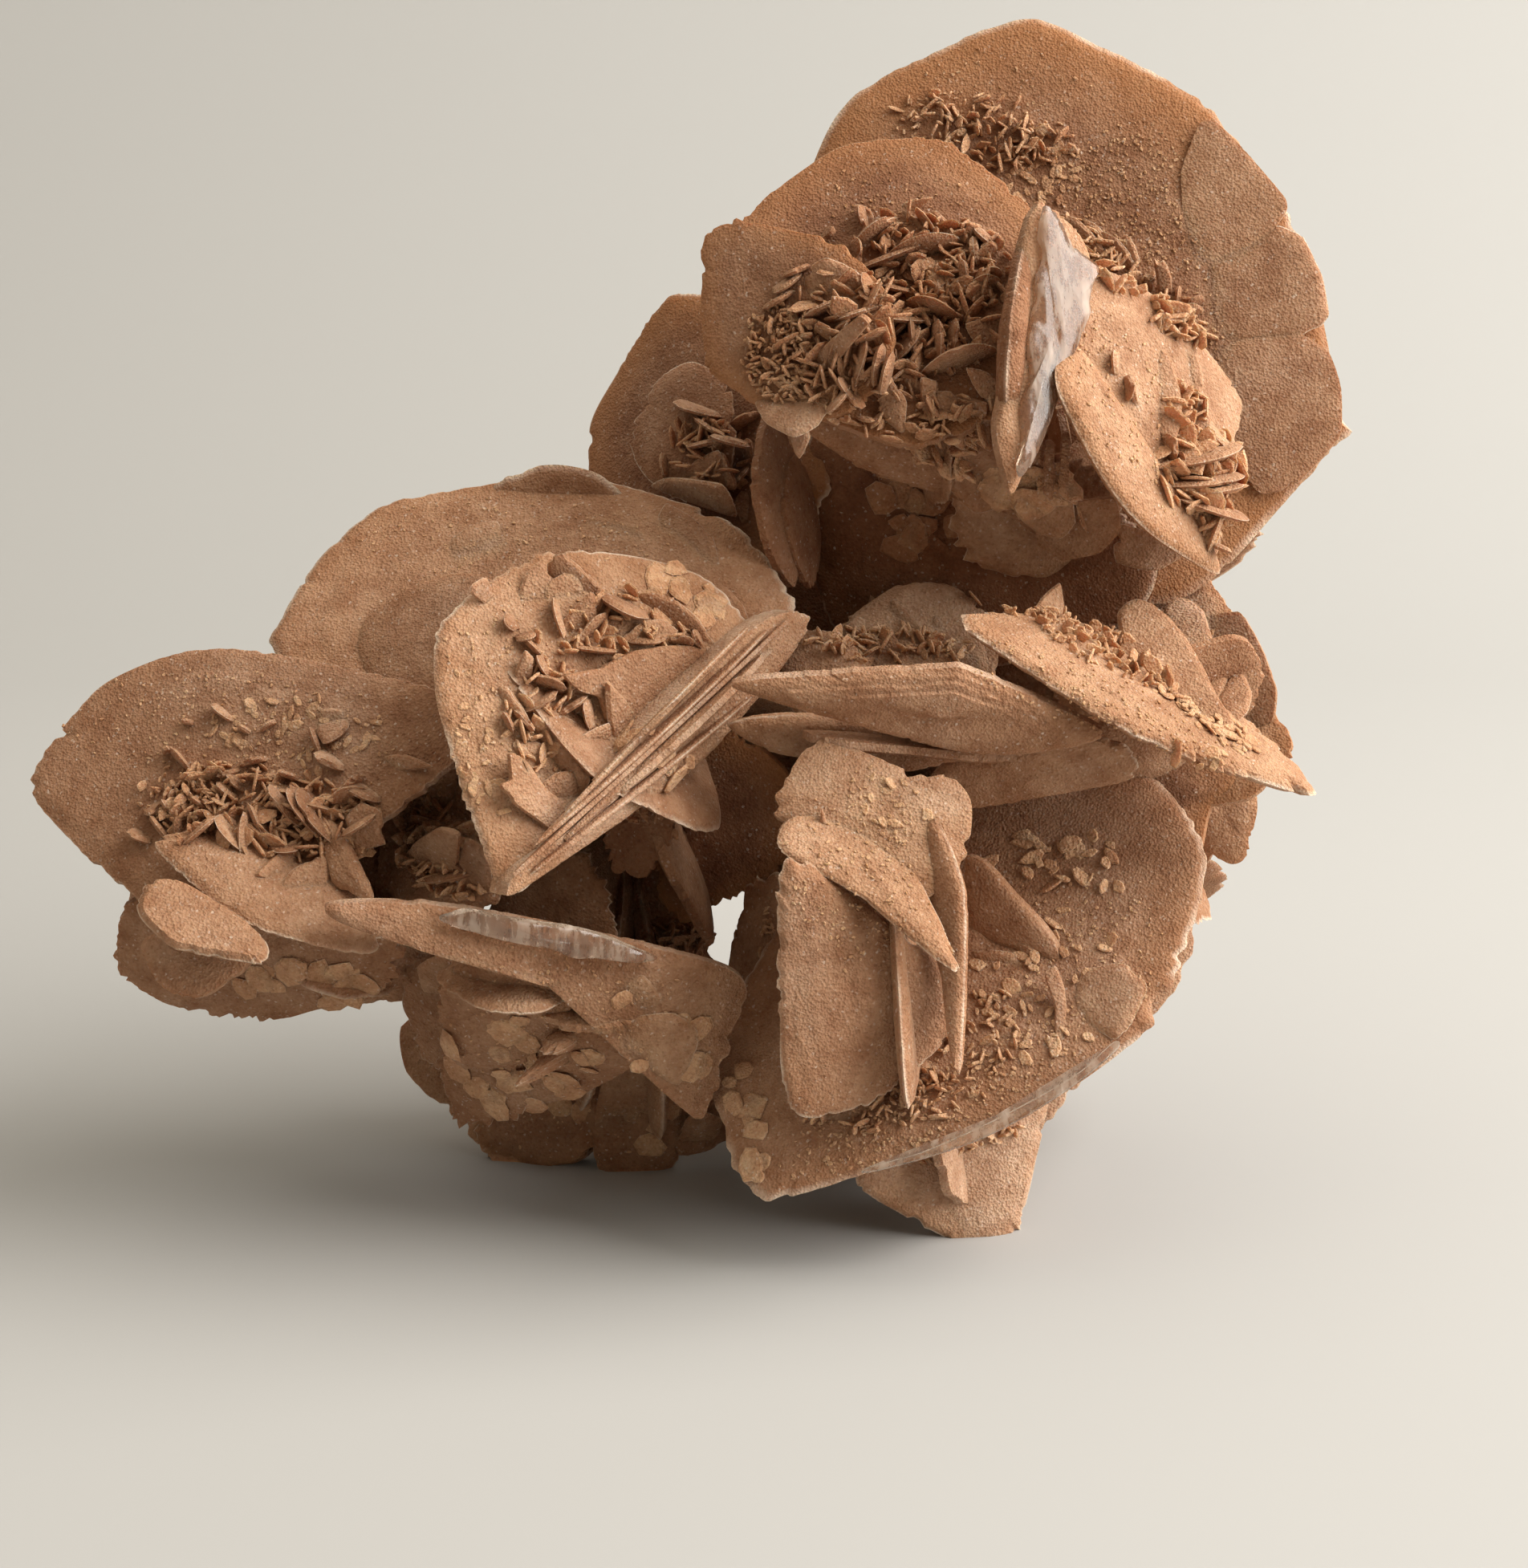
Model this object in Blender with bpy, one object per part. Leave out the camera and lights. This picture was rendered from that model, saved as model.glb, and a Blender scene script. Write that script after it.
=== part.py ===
"""A gypsum sand rose: one cluster of lens-shaped desert-rose blades grown through each other.

The blades that the front shows are drawn as a front elevation, in millimetres: x to the right and z up,
about the middle of the cluster. The drawing is held upright on a board, and an eye stands in front of
it and looks a little down. Each drawn outline is carried along the lines of sight onto its blade's own
plane, which has a depth behind the board, a turn to the right and a tip up, in degrees. Small crystals
sit on the blade that they grow from. The blades at the back are plain rounded discs. All of them are
joined in one solid, cut flat underneath where its lowest blades stand.
"""

import math
import random

import bmesh
import bpy
from mathutils import Matrix, Vector

MM = 0.001
EYE_DISTANCE = 650.0
EYE_RISE = math.radians(14.0)
CENTRE_SHIFT = Vector((16.7, -33.9, 100.0))
FLOOR_SIDE = 400.0

SHOULDER_SCALE = 0.80
SHOULDER_SHARE = 0.72
CAP_SCALE = 0.45
LARGE_BLADE = 46.0
SMALL_BLADE = 36.0
LEAF_SIDES = 8
DISC_SIDES = 8
CRYSTAL_SIDES = 4
SMALL_ROOT = 1.6
UPRIGHT_ROLL = 78.0
FIRST_BLADE = "crown_disc"
GYPSUM_COLOUR = (0.56, 0.33, 0.19, 1.0)
GYPSUM_ROUGHNESS = 0.85

# name: (depth, turn, tip, thickness, outline)
PLATES = {
    "crown_disc": (
        34, -8, 6, 9,
        [(6, 118), (13, 141), (21, 151), (40, 161), (50, 165), (62, 166), (92, 151), (104, 139),
        (114, 125), (120, 109), (126, 80), (126, 75), (99, 46), (85, 39), (61, 41), (35, 50), (15, 73),
        (7, 96)],
    ),
    "crown_crest": (
        2, -6, 20, 7,
        [(-9, 113), (-5, 123), (11, 136), (21, 140), (40, 140), (59, 125), (64, 113), (63, 96),
        (52, 80), (33, 73), (10, 80), (-4, 96)],
    ),
    "crown_lobe": (
        -8, -22, 8, 6,
        [(-5, 123), (-11, 121), (-14, 116), (-13, 92), (-8, 86), (4, 79), (19, 80), (28, 92), (28, 106),
        (18, 117), (7, 121)],
    ),
    "crown_plate": (
        -2, 38, 12, 6,
        [(66, 113), (73, 113), (89, 103), (103, 85), (103, 76), (100, 57), (96, 50), (71, 83), (65, 97)],
    ),
    "crown_under": (
        2, -8, -42, 7,
        [(8, 80), (29, 83), (54, 80), (66, 66), (69, 59), (61, 54), (54, 59), (22, 69)],
    ),
    "back_disc": (
        52, -30, 8, 7,
        [(-15, 107), (-22, 105), (-33, 88), (-38, 78), (-38, 66), (-34, 54), (-21, 45), (-4, 45),
        (10, 55), (15, 73), (10, 94), (-2, 105)],
    ),
    "back_scale": (
        42, -26, 10, 4,
        [(-15, 92), (-21, 90), (-25, 85), (-29, 76), (-26, 67), (-18, 62), (-9, 66), (-6, 76), (-8, 87)],
    ),
    "throat_plate": (
        30, -18, -14, 8,
        [(11, 77), (8, 57), (16, 33), (29, 26), (61, 27), (82, 38), (85, 52), (66, 66), (39, 72),
        (23, 70)],
    ),
    "under_lobe": (
        16, -4, -32, 6,
        [(42, 66), (41, 55), (46, 48), (56, 45), (66, 46), (78, 59), (75, 68), (57, 73)],
    ),
    "shoulder_disc": (
        16, -6, 34, 8,
        [(-107, 29), (-106, 35), (-97, 49), (-86, 59), (-78, 62), (-49, 67), (-30, 65), (-6, 56),
        (7, 38), (1, 24), (-13, 8), (-37, -1), (-69, 3), (-93, 13)],
    ),
    "heart_disc": (
        -16, 24, 16, 7,
        [(-62, 43), (-71, 34), (-72, 29), (-70, 12), (-57, -23), (-44, -15), (-23, 3), (-9, 20),
        (-4, 34), (-13, 45), (-30, 50), (-48, 50)],
    ),
    "small_petal": (
        6, -22, 24, 5,
        [(-89, 28), (-86, 37), (-75, 44), (-61, 46), (-55, 38), (-56, 22), (-69, 13), (-83, 17)],
    ),
    "left_disc": (
        2, -14, 22, 7,
        [(-160, -2), (-148, 18), (-138, 25), (-125, 29), (-109, 29), (-85, 24), (-72, 21), (-63, 15),
        (-66, 5), (-98, -20), (-114, -27), (-132, -29), (-139, -24)],
    ),
    "left_ledge": (
        -16, 20, 46, 6,
        [(-132, -12), (-131, -16), (-118, -27), (-106, -33), (-86, -37), (-84, -30), (-90, -22),
        (-97, -15), (-109, -11), (-123, -10)],
    ),
    "left_coin": (
        -22, -6, 16, 8,
        [(-136, -24), (-133, -21), (-126, -22), (-113, -30), (-108, -36), (-110, -39), (-128, -36),
        (-136, -29)],
    ),
    "left_saucer": (
        -15, -8, -20, 6,
        [(-136, -36), (-132, -44), (-126, -47), (-120, -46), (-110, -38), (-113, -32), (-125, -30),
        (-134, -32)],
    ),
    "left_under": (
        6, -10, -34, 6,
        [(-139, -25), (-142, -38), (-134, -46), (-126, -49), (-107, -51), (-92, -48), (-84, -46),
        (-79, -39), (-79, -30), (-91, -23), (-111, -20), (-128, -20)],
    ),
    "left_tail": (
        20, 4, -30, 5,
        [(-93, -39), (-91, -47), (-84, -48), (-65, -44), (-62, -37), (-72, -30), (-86, -30)],
    ),
    "gully_disc": (
        14, -12, 0, 5,
        [(-79, 13), (-84, -15), (-83, -23), (-72, -28), (-58, -26), (-53, -15), (-58, 3), (-69, 13)],
    ),
    "gully_fan": (
        4, -34, 6, 5,
        [(-82, -22), (-79, -15), (-72, -9), (-64, -8), (-58, -15), (-58, -26), (-69, -29), (-79, -28)],
    ),
    "glass_ledge": (
        -20, 10, -16, 11,
        [(-96, -26), (-82, -25), (-63, -27), (-7, -40), (-7, -55), (-11, -69), (-18, -71), (-28, -64),
        (-44, -44), (-55, -38), (-69, -34), (-92, -30)],
    ),
    "foot_wing": (
        12, -30, -26, 5,
        [(-79, -42), (-75, -58), (-68, -64), (-62, -62), (-53, -53), (-55, -41), (-69, -36)],
    ),
    "foot_shell": (
        -8, -18, -40, 5,
        [(-71, -43), (-70, -56), (-68, -60), (-65, -62), (-56, -63), (-43, -52), (-41, -46), (-51, -39),
        (-63, -38)],
    ),
    "foot_lip": (
        -15, 2, 56, 5,
        [(-71, -43), (-62, -49), (-53, -50), (-46, -49), (-38, -42), (-44, -38), (-58, -37), (-69, -39)],
    ),
    "foot_scale": (
        10, -26, -28, 5,
        [(-71, -60), (-66, -74), (-53, -72), (-48, -64), (-55, -55), (-65, -56)],
    ),
    "foot_fan": (
        -4, -14, -50, 5,
        [(-54, -70), (-42, -68), (-35, -65), (-27, -60), (-28, -55), (-37, -53), (-46, -55), (-51, -60)],
    ),
    "foot_disc": (
        50, -16, -20, 7,
        [(-62, -71), (-62, -79), (-49, -84), (-38, -81), (-34, -76), (-35, -64), (-46, -58), (-56, -62)],
    ),
    "foot_blade": (
        46, 6, -18, 7,
        [(-40, -70), (-36, -84), (-33, -86), (-23, -86), (-19, -82), (-13, -60), (-18, -51), (-30, -50),
        (-39, -57)],
    ),
    "foot_chip": (
        50, 24, -12, 6,
        [(-23, -62), (-21, -74), (-19, -81), (-10, -79), (-6, -74), (-8, -62)],
    ),
    "heart_under": (
        30, -10, -24, 6,
        [(-24, -18), (-23, -25), (-20, -29), (-16, -30), (4, -18), (8, -4), (1, 8), (-13, 13), (-23, 6),
        (-27, -6)],
    ),
    "heart_flap": (
        2, -16, -10, 5,
        [(-35, -11), (-34, -17), (-32, -20), (-25, -20), (-18, -8), (-18, 3), (-27, 6), (-34, -1)],
    ),
    "gate_left": (
        14, -26, -4, 6,
        [(-46, -15), (-38, -15), (-35, -20), (-32, -33), (-37, -39), (-58, -32), (-60, -20), (-55, -15)],
    ),
    "gate_sill": (
        42, 10, 22, 6,
        [(-28, -33), (-24, -29), (-18, -29), (-12, -32), (-12, -37), (-8, -42), (-10, -57), (-21, -62),
        (-33, -55), (-33, -41)],
    ),
    "gate_right": (
        18, -44, 4, 6,
        [(4, -20), (-1, -20), (-4, -25), (-8, -44), (-8, -69), (-4, -78), (4, -74), (8, -57), (10, -36)],
    ),
    "bowl_disc": (
        -4, -16, 30, 9,
        [(-11, -62), (-7, -82), (-4, -87), (6, -90), (57, -72), (82, -55), (85, -48), (89, -43),
        (96, -22), (95, -11), (85, 1), (64, 6), (40, 3), (19, -13), (0, -36)],
    ),
    "bowl_wall": (
        16, -20, 6, 9,
        [(104, 1), (98, -5), (96, -14), (92, -24), (82, -30), (64, -27), (52, -15), (50, 3), (59, 13),
        (78, 15), (96, 10)],
    ),
    "hood_disc": (
        -28, -4, 18, 6,
        [(15, 10), (9, 8), (5, 3), (2, -5), (4, -15), (12, -22), (26, -27), (38, -25), (45, -15),
        (46, -4), (41, 2), (34, 2)],
    ),
    "hood_ledge": (
        -38, 36, 44, 6,
        [(4, -15), (8, -11), (14, -11), (20, -14), (37, -33), (41, -41), (20, -24)],
    ),
    "hood_wall": (
        -34, 16, -6, 6,
        [(4, -17), (3, -41), (6, -71), (24, -69), (40, -55), (42, -43), (14, -20)],
    ),
    "bowl_shelf": (
        -10, -8, -40, 6,
        [(35, -6), (75, 0), (82, 3), (78, 9), (66, 11), (49, 9), (38, 4)],
    ),
    "spike": (
        8, 14, -6, 7,
        [(20, -85), (22, -89), (36, -97), (53, -102), (63, -60), (50, -55), (35, -62), (24, -74)],
    ),
    "right_fan": (
        22, -24, 18, 6,
        [(61, 31), (64, 36), (82, 48), (87, 50), (94, 49), (108, 29), (112, 15), (115, 11), (115, 5),
        (106, -4), (91, -4), (73, 6), (63, 19)],
    ),
    "right_tray": (
        -18, 38, 50, 6,
        [(44, 37), (64, 36), (78, 31), (103, 15), (120, -1), (113, -1), (82, 10), (48, 31)],
    ),
    "right_lens": (
        -26, -2, -30, 9,
        [(-6, 23), (37, 26), (46, 25), (73, 13), (70, 9), (56, 7), (40, 8), (0, 19)],
    ),
    "right_keel": (
        -16, -14, -24, 7,
        [(20, 19), (20, 9), (22, 6), (28, 4), (33, 3), (54, 9), (54, 17), (40, 22)],
    ),
    "left_lens": (
        -14, -6, -42, 6,
        [(-8, 13), (5, 15), (29, 13), (26, 7), (15, 6), (1, 8)],
    ),
    "right_ear": (
        34, -6, -14, 5,
        [(97, -15), (102, -18), (106, -15), (108, -1), (103, 6), (94, 5), (92, -6)],
    ),
    "nest_disc": (
        24, -4, 24, 6,
        [(15, 31), (18, 36), (28, 43), (36, 44), (42, 43), (48, 38), (52, 31), (49, 20), (35, 17),
        (21, 20)],
    ),
    "nest_rim": (
        36, 4, 20, 4,
        [(36, 38), (43, 45), (54, 43), (57, 40), (56, 31), (43, 27)],
    ),
    "nest_lobe": (
        12, -14, 22, 6,
        [(3, 26), (6, 33), (15, 33), (21, 29), (22, 20), (17, 13), (7, 15)],
    ),
    "left_knife": (
        -14, -32, 8, 4,
        [(-101, -1), (-96, -5), (-91, -12), (-85, -25), (-90, -24), (-94, -21)],
    ),
    "crown_keel": (
        -12, 40, 15, 8,
        [(69, 96), (76, 89), (91, 65), (97, 54), (99, 48), (97, 46), (85, 55), (77, 65), (66, 86)],
    ),
    "crown_spear": (
        -22, 30, 0, 9,
        [(60, 127), (74, 112), (59, 69), (55, 65), (51, 67), (49, 76), (50, 83), (54, 89), (56, 108),
        (55, 115), (56, 121)],
    ),
    "heart_stack": (
        -17, 40, -5, 10,
        [(-58, -22), (-55, -23), (-18, 3), (-3, 19), (8, 34), (7, 38), (-2, 36), (-21, 20), (-28, 13),
        (-37, 0), (-43, -5), (-46, -11), (-55, -18)],
    ),
    "bowl_knife": (
        -34, -45, 0, 5,
        [(37, -7), (43, -20), (44, -32), (43, -60), (42, -62), (40, -44), (35, -29), (34, -20)],
    ),
    "foot_terrace": (
        -16, -6, 52, 4,
        [(-49, -49), (-46, -53), (-36, -54), (-28, -53), (-26, -49), (-38, -46)],
    ),
    "foot_terrace_2": (
        -12, -6, 50, 4,
        [(-49, -57), (-46, -59), (-38, -55), (-31, -55), (-35, -52), (-44, -53)],
    ),
    "foot_terrace_3": (
        -8, -8, 46, 4,
        [(-54, -66), (-38, -57), (-27, -57), (-34, -54), (-44, -57), (-51, -62)],
    ),
}

# name: (one tip, other tip, half width, roll, thickness), a tip being (x, depth, z)
LEAVES = {
    "crown_spine": ((60, -10, 125), (54, -14, 66), 18, 74, 9),
    "heart_edge": ((-53, -24, -18), (4, 10, 34), 18, 78, 5),
    "throat_blade": ((1, 20, 81), (6, 22, 42), 12, 62, 5),
    "throat_blade_2": ((6, 26, 73), (10, 28, 42), 12, 70, 4),
}

# name: (x, depth, z, turn, tip, radius, stretch, thickness)
BACK_DISCS = {
    "crown_fin": (36, 20, 88, 96, 6, 27, 1.1, 6),
    "crown_fin_low": (76, 16, 66, 64, -24, 28, 1.1, 6),
    "bowl_fin_deep": (30, -14, -40, 84, 4, 24, 1.3, 6),
    "bowl_fin_side": (66, 30, -22, 96, 30, 22, 1.1, 6),
    "tray_fin": (90, 2, 16, 20, -38, 17, 1.3, 6),
    "keel_fin": (36, 4, 12, 30, 76, 26, 1.3, 6),
    "heart_fin": (-34, 0, 18, 60, 40, 30, 1.2, 7),
    "hip_fin": (-30, 26, -52, 100, 4, 34, 1.2, 7),
    "gate_fin": (-20, 22, -14, 84, 20, 22, 1.0, 6),
    "loin_fin": (-38, 38, -20, 74, 10, 30, 1.1, 7),
    "loin_disc": (-36, 56, -24, 176, 6, 20, 1.1, 6),
    "saddle_disc": (58, 46, 26, 172, 6, 30, 1.2, 7),
    "spike_fin": (44, 22, -66, 70, 10, 26, 1.2, 7),
    "nape_disc": (66, 72, 84, 168, 8, 44, 1.15, 8),
    "nape_fin": (62, 64, 82, 96, 12, 42, 1.1, 7),
    "nape_fin_low": (46, 66, 60, 130, -30, 40, 1.0, 7),
    "nape_shelf": (78, 62, 66, 170, 62, 36, 1.2, 6),
    "nape_crest": (86, 60, 108, 205, 24, 28, 1.1, 5),
    "spine_disc": (10, 60, 24, 190, -6, 48, 1.1, 9),
    "spine_fin": (20, 68, 30, 100, 0, 34, 1.1, 8),
    "spine_shelf": (24, 58, 8, 175, 70, 44, 1.2, 7),
    "shoulder_back": (-52, 50, 26, 170, 20, 42, 1.2, 8),
    "shoulder_fin": (-46, 40, 16, 80, 14, 33, 1.1, 7),
    "shoulder_keel": (-66, 40, 8, 190, -46, 32, 1.1, 6),
    "wing_back": (-112, 30, -12, 168, 14, 34, 1.25, 7),
    "wing_fin": (-104, 22, -18, 70, 30, 28, 1.1, 6),
    "wing_keel": (-92, 30, -28, 200, -52, 28, 1.1, 6),
    "rump_disc": (52, 62, -40, 172, -8, 44, 1.15, 9),
    "rump_fin": (48, 56, -44, 84, -6, 40, 1.1, 8),
    "rump_shelf": (66, 50, -22, 185, 66, 36, 1.2, 6),
    "heel_disc": (28, 84, -54, 160, -24, 34, 1.2, 8),
    "heel_fin": (34, 78, -52, 60, -12, 32, 1.1, 7),
    "heel_foot": (20, 92, -64, 200, -40, 22, 1.1, 7),
    "hock_disc": (-51, 64, -57, 176, -14, 32, 1.15, 8),
    "hock_fin": (-40, 58, -46, 100, -10, 30, 1.1, 7),
    "flank_disc": (80, 44, 4, 150, 20, 30, 1.1, 7),
    "flank_fin": (80, 40, -6, 60, 40, 30, 1.1, 6),
}

# (blade that it grows on, angle off that blade, thickness, outline that starts with its root line)
PETALS = [
    ("heart_disc", 25, 2.2, ((-12.6, 28.9), (-31, 12.6), (-34.5, 13.5), (-36.2, 18.7), (-40.6, 20.1),
        (-44.1, 23.6), (-36.2, 25.4), (-32.7, 27.1), (-28.3, 29.2), (-21.3, 30.4), (-15.7, 30.4))),
    ("heart_disc", 32, 1.8, ((-14.7, 30.6), (-33.2, 28.3), (-31, 31.8), (-26.6, 35.3), (-22.2, 35.9),
        (-17.8, 32.7))),
    ("heart_disc", 58, 2.0, ((-9.6, 29.6), (-25.5, 38.8), (-27.3, 41.5), (-24, 41.6), (-19.6, 40.2),
        (-15.7, 37.4), (-12.2, 33.6))),
    ("heart_disc", 62, 2.4, ((-52.3, 14.7), (-40.2, -1.8), (-37.8, 1.2), (-43, 8.6), (-48.1, 14))),
    ("heart_disc", 20, 1.8, ((-43.4, -4.7), (-45.3, -11.2), (-50.2, -7.7), (-54.6, -4.5), (-58.1, 0),
        (-55.6, 1.2), (-56, 7.5), (-52, 5.2), (-47.4, -1.2))),
    ("shoulder_disc", 7, 1.4, ((-42, 52.7), (-24.5, 49.5), (-26.1, 54.2), (-30.8, 56.9), (-36.2, 57.9),
        (-40.9, 56.9))),
    ("shoulder_disc", 7, 1.4, ((-22.8, 56.3), (-9.1, 47.4), (-11, 53.4), (-15.6, 58.1), (-21.3, 61.2))),
    ("shoulder_disc", 8, 1.6, ((-26.6, 40.6), (-2.1, 31.8), (-4.2, 38.3), (-8.2, 42.9), (-15, 44.1),
        (-21.7, 48.1), (-28.5, 49.2))),
    ("shoulder_disc", 9, 1.6, ((-36.8, 39.7), (-4.2, 28.9), (-5.9, 34.1), (-13.3, 37.1), (-25.7, 43),
        (-36.4, 46.2))),
    ("shoulder_disc", 6, 1.4, ((-68.6, 48.5), (-54.6, 50.2), (-58.1, 57.2), (-64.2, 56.3), (-68.6, 52.8))),
    ("crown_lobe", 25, 2.0, ((22.8, 108), (9.1, 105), (8.9, 110.4), (10.5, 113.2), (13.6, 114.8),
        (18.2, 113), (21.9, 110.4))),
    ("crown_crest", 35, 2.0, ((57.7, 103.6), (49.7, 93.3), (47.2, 94), (43.8, 100.3), (51.3, 102.2),
        (56, 104.6))),
    ("crown_crest", 50, 2.2, ((49, 81), (29.4, 87.5), (27.8, 91), (32.9, 88.9), (37.4, 85.8),
        (43.4, 84), (49.3, 82.8))),
    ("crown_disc", 3, 2.4, ((94.1, 113.2), (92, 133.3), (95.9, 146.5), (104.3, 139.1), (113.9, 127.9),
        (114.4, 125.1), (111.3, 120.2), (105.5, 114.1))),
    ("crown_disc", 4, 2.6, ((98.5, 96.6), (96.8, 113.2), (106.4, 118.5), (112, 121.8), (117.6, 119.2),
        (121.8, 110.6), (123.2, 102.4), (120.4, 98.9), (113.4, 96.8))),
    ("crown_disc", 3, 2.6, ((99.4, 73), (95.9, 94), (107.3, 98), (116.5, 99), (123.7, 94.3),
        (126.3, 86.6), (126.2, 75.6), (116.9, 65.3), (108.1, 62.5))),
    ("crown_disc", 42, 2.0, ((78, 110.6), (71.8, 119.9), (68.8, 124.1), (72.4, 122.1), (75.9, 117.8),
        (78.4, 111.5))),
    ("crown_plate", 30, 2.2, ((85.4, 94), (84.7, 83.5), (86.8, 74.7), (89.6, 73.7), (91.3, 79.1),
        (90.8, 85.2), (89.1, 91.9), (87, 95))),
    ("crown_under", 15, 1.8, ((52.5, 63.9), (66.1, 66), (67.9, 57.2), (64.8, 53.4), (59.5, 54.8),
        (54.6, 59))),
    ("crown_under", 12, 1.8, ((59.1, 59), (77, 61.6), (78.4, 55.5), (73.5, 50.2), (64.4, 48.5),
        (59.1, 52))),
    ("crown_under", 12, 1.6, ((39.9, 73), (52.1, 68.6), (51.3, 60.7), (46, 59), (39.9, 65.1))),
    ("crown_under", 12, 1.6, ((76.6, 55.5), (92.4, 50.2), (85.4, 46.4), (76.6, 48.5))),
    ("right_tray", 34, 3.4, ((99.4, 11.7), (78.8, 28), (77.5, 32.7), (77, 36.9), (78.8, 39.5),
        (81.4, 40.4), (84.3, 39.4), (88.4, 36.2), (92.6, 31), (96.1, 24.8), (99.2, 18.4), (102.5, 12.9))),
    ("right_tray", 36, 2.8, ((100.3, 18), (89.2, 34.8), (87.3, 38.3), (89.6, 40.6), (92.6, 40.2),
        (95.9, 37.6), (97.5, 32.7), (99.4, 28.3), (101.1, 22.6))),
    ("right_tray", 34, 1.8, ((85.8, 30.4), (72.4, 30.4), (75.6, 33.4), (80.1, 34.5), (84.3, 33.8))),
    ("right_fan", 8, 1.6, ((106.4, 12.6), (95.9, 36.2), (103.8, 38), (109, 29.2), (112, 20.5),
        (111.3, 13.5))),
    ("left_disc", 45, 1.8, ((-119.7, -6.5), (-108.5, -1.9), (-103.2, 0.2), (-106, 1.2), (-110.6, -0.2),
        (-114.4, -3.7), (-119.3, -5.1))),
    ("left_ledge", 40, 2.2, ((-106.2, -20.1), (-95.5, -10.7), (-96.6, -8), (-99.4, -10),
        (-105.5, -14.5), (-111.3, -20.1))),
    ("bowl_disc", 38, 4.5, ((45.1, -31.3), (65.1, -38), (64.4, -35), (60.9, -30.1), (54.8, -23.8),
        (50.4, -18.7), (47.6, -16.1), (44.1, -14.9), (43.8, -23.3))),
    ("bowl_disc", 45, 1.6, ((24.5, -45.3), (39.9, -48.8), (40.1, -47.2), (34.6, -45.5), (27.3, -43.8),
        (23.1, -42.7))),
    ("bowl_disc", 35, 2.0, ((30.8, -56.5), (39.2, -60.4), (39.2, -47.8), (35.3, -45.8), (32.5, -46.9),
        (30.1, -50.6))),
    ("bowl_disc", 30, 1.6, ((62.3, -56.2), (64.2, -54.8), (66, -49.5), (65.5, -44.3), (63.7, -39.7),
        (61.1, -41.5), (63.3, -48.6))),
    ("bowl_disc", 15, 1.6, ((8.4, -71.9), (19.2, -72.3), (24.8, -69.1), (17.1, -68.4))),
    ("bowl_disc", 12, 1.8, ((67.9, -47.8), (78.4, -54.8), (83.6, -44.3), (78.4, -39), (69.6, -40.8))),
    ("back_scale", 55, 2.0, ((-24.7, 65.8), (-6.6, 59.3), (-7, 62.5), (-9.1, 65.3), (-16.1, 66.5),
        (-21.3, 66.8))),
    ("crown_lobe", 25, 1.8, ((-2.1, 82.6), (14.5, 83.5), (11.9, 78.2), (6.6, 75.6), (0.5, 78.6))),
    ("gully_disc", 25, 1.8, ((-79.1, -2.3), (-68.6, -5.8), (-66.8, 3), (-73.8, 8.2), (-79.1, 4.7))),
    ("foot_blade", 12, 1.6, ((-37.1, -74), (-21.3, -74), (-20.3, -63.5), (-26.6, -58.3), (-35, -61.8))),
    ("glass_ledge", 14, 1.6, ((-30.1, -54.8), (-16.1, -61.8), (-12.6, -49.5), (-21.3, -43.4),
        (-30.1, -46))),
    ("glass_ledge", 16, 1.6, ((-44.1, -43.4), (-31.8, -49.9), (-26.6, -44.6), (-37.1, -39.9))),
]

# (blade that it grows on, one tip, other tip, half width, thickness)
EDGES = [
    ("crown_crest", (19.9, 112), (36.9, 118.6), 8, 1.8),
    ("crown_crest", (24.8, 112.9), (42.9, 118.6), 8, 1.8),
    ("crown_crest", (34.1, 89.4), (50.9, 94.7), 9, 2.0),
    ("crown_plate", (85.4, 68.8), (102.5, 74.5), 9, 2.0),
    ("crown_plate", (88.5, 64.8), (103.2, 67.9), 8, 1.8),
    ("crown_plate", (89.6, 62.6), (105, 58.4), 8, 1.8),
    ("heart_stack", (-55.6, -20.8), (6.6, 36.9), 3, 1.6),
    ("heart_stack", (-50.4, -13.8), (1.4, 34.1), 3, 1.4),
    ("heart_stack", (-44.1, -7.5), (-2.8, 34.8), 3, 1.6),
    ("heart_stack", (-38, -0.2), (-8.2, 28.9), 3, 1.4),
    ("heart_stack", (-51.1, -19.8), (-2.4, 19.1), 3, 1.8),
    ("heart_stack", (-44.1, -12.8), (-4.7, 22.2), 3, 1.3),
]


def facing(turn, tip):
    """The direction that a blade's front face looks in, before the board leans back."""
    turn = math.radians(turn)
    tip = math.radians(tip)
    return Vector((math.sin(turn) * math.cos(tip), -math.cos(turn) * math.cos(tip), math.sin(tip)))


def sighted(x, z, depth):
    """The place seen at a drawn point, at a depth behind the board."""
    reach = (EYE_DISTANCE + depth) / EYE_DISTANCE
    return Vector((x * reach, depth, z * reach))


def onto_plane(x, z, centre, normal):
    """Where the line of sight through a drawn point meets a blade's plane."""
    eye = Vector((0.0, -EYE_DISTANCE, 0.0))
    ray = Vector((x, EYE_DISTANCE, z))
    return eye + ray * ((centre - eye).dot(normal) / ray.dot(normal))


def standing(point):
    """A place behind the board, as it is in the standing cluster, in metres."""
    return (Matrix.Rotation(-EYE_RISE, 3, "X") @ point + CENTRE_SHIFT) * MM


def middle(points):
    return sum(points, Vector()) / len(points)


def drawn_in(bm, face, shift, scale):
    """Extrudes a face by a vector and scales the new end about its middle."""
    end = bmesh.ops.extrude_discrete_faces(bm, faces=[face])["faces"][0]
    centre = end.calc_center_median()
    for vert in end.verts:
        vert.co = centre + (vert.co - centre) * scale + shift
    return end


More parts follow.
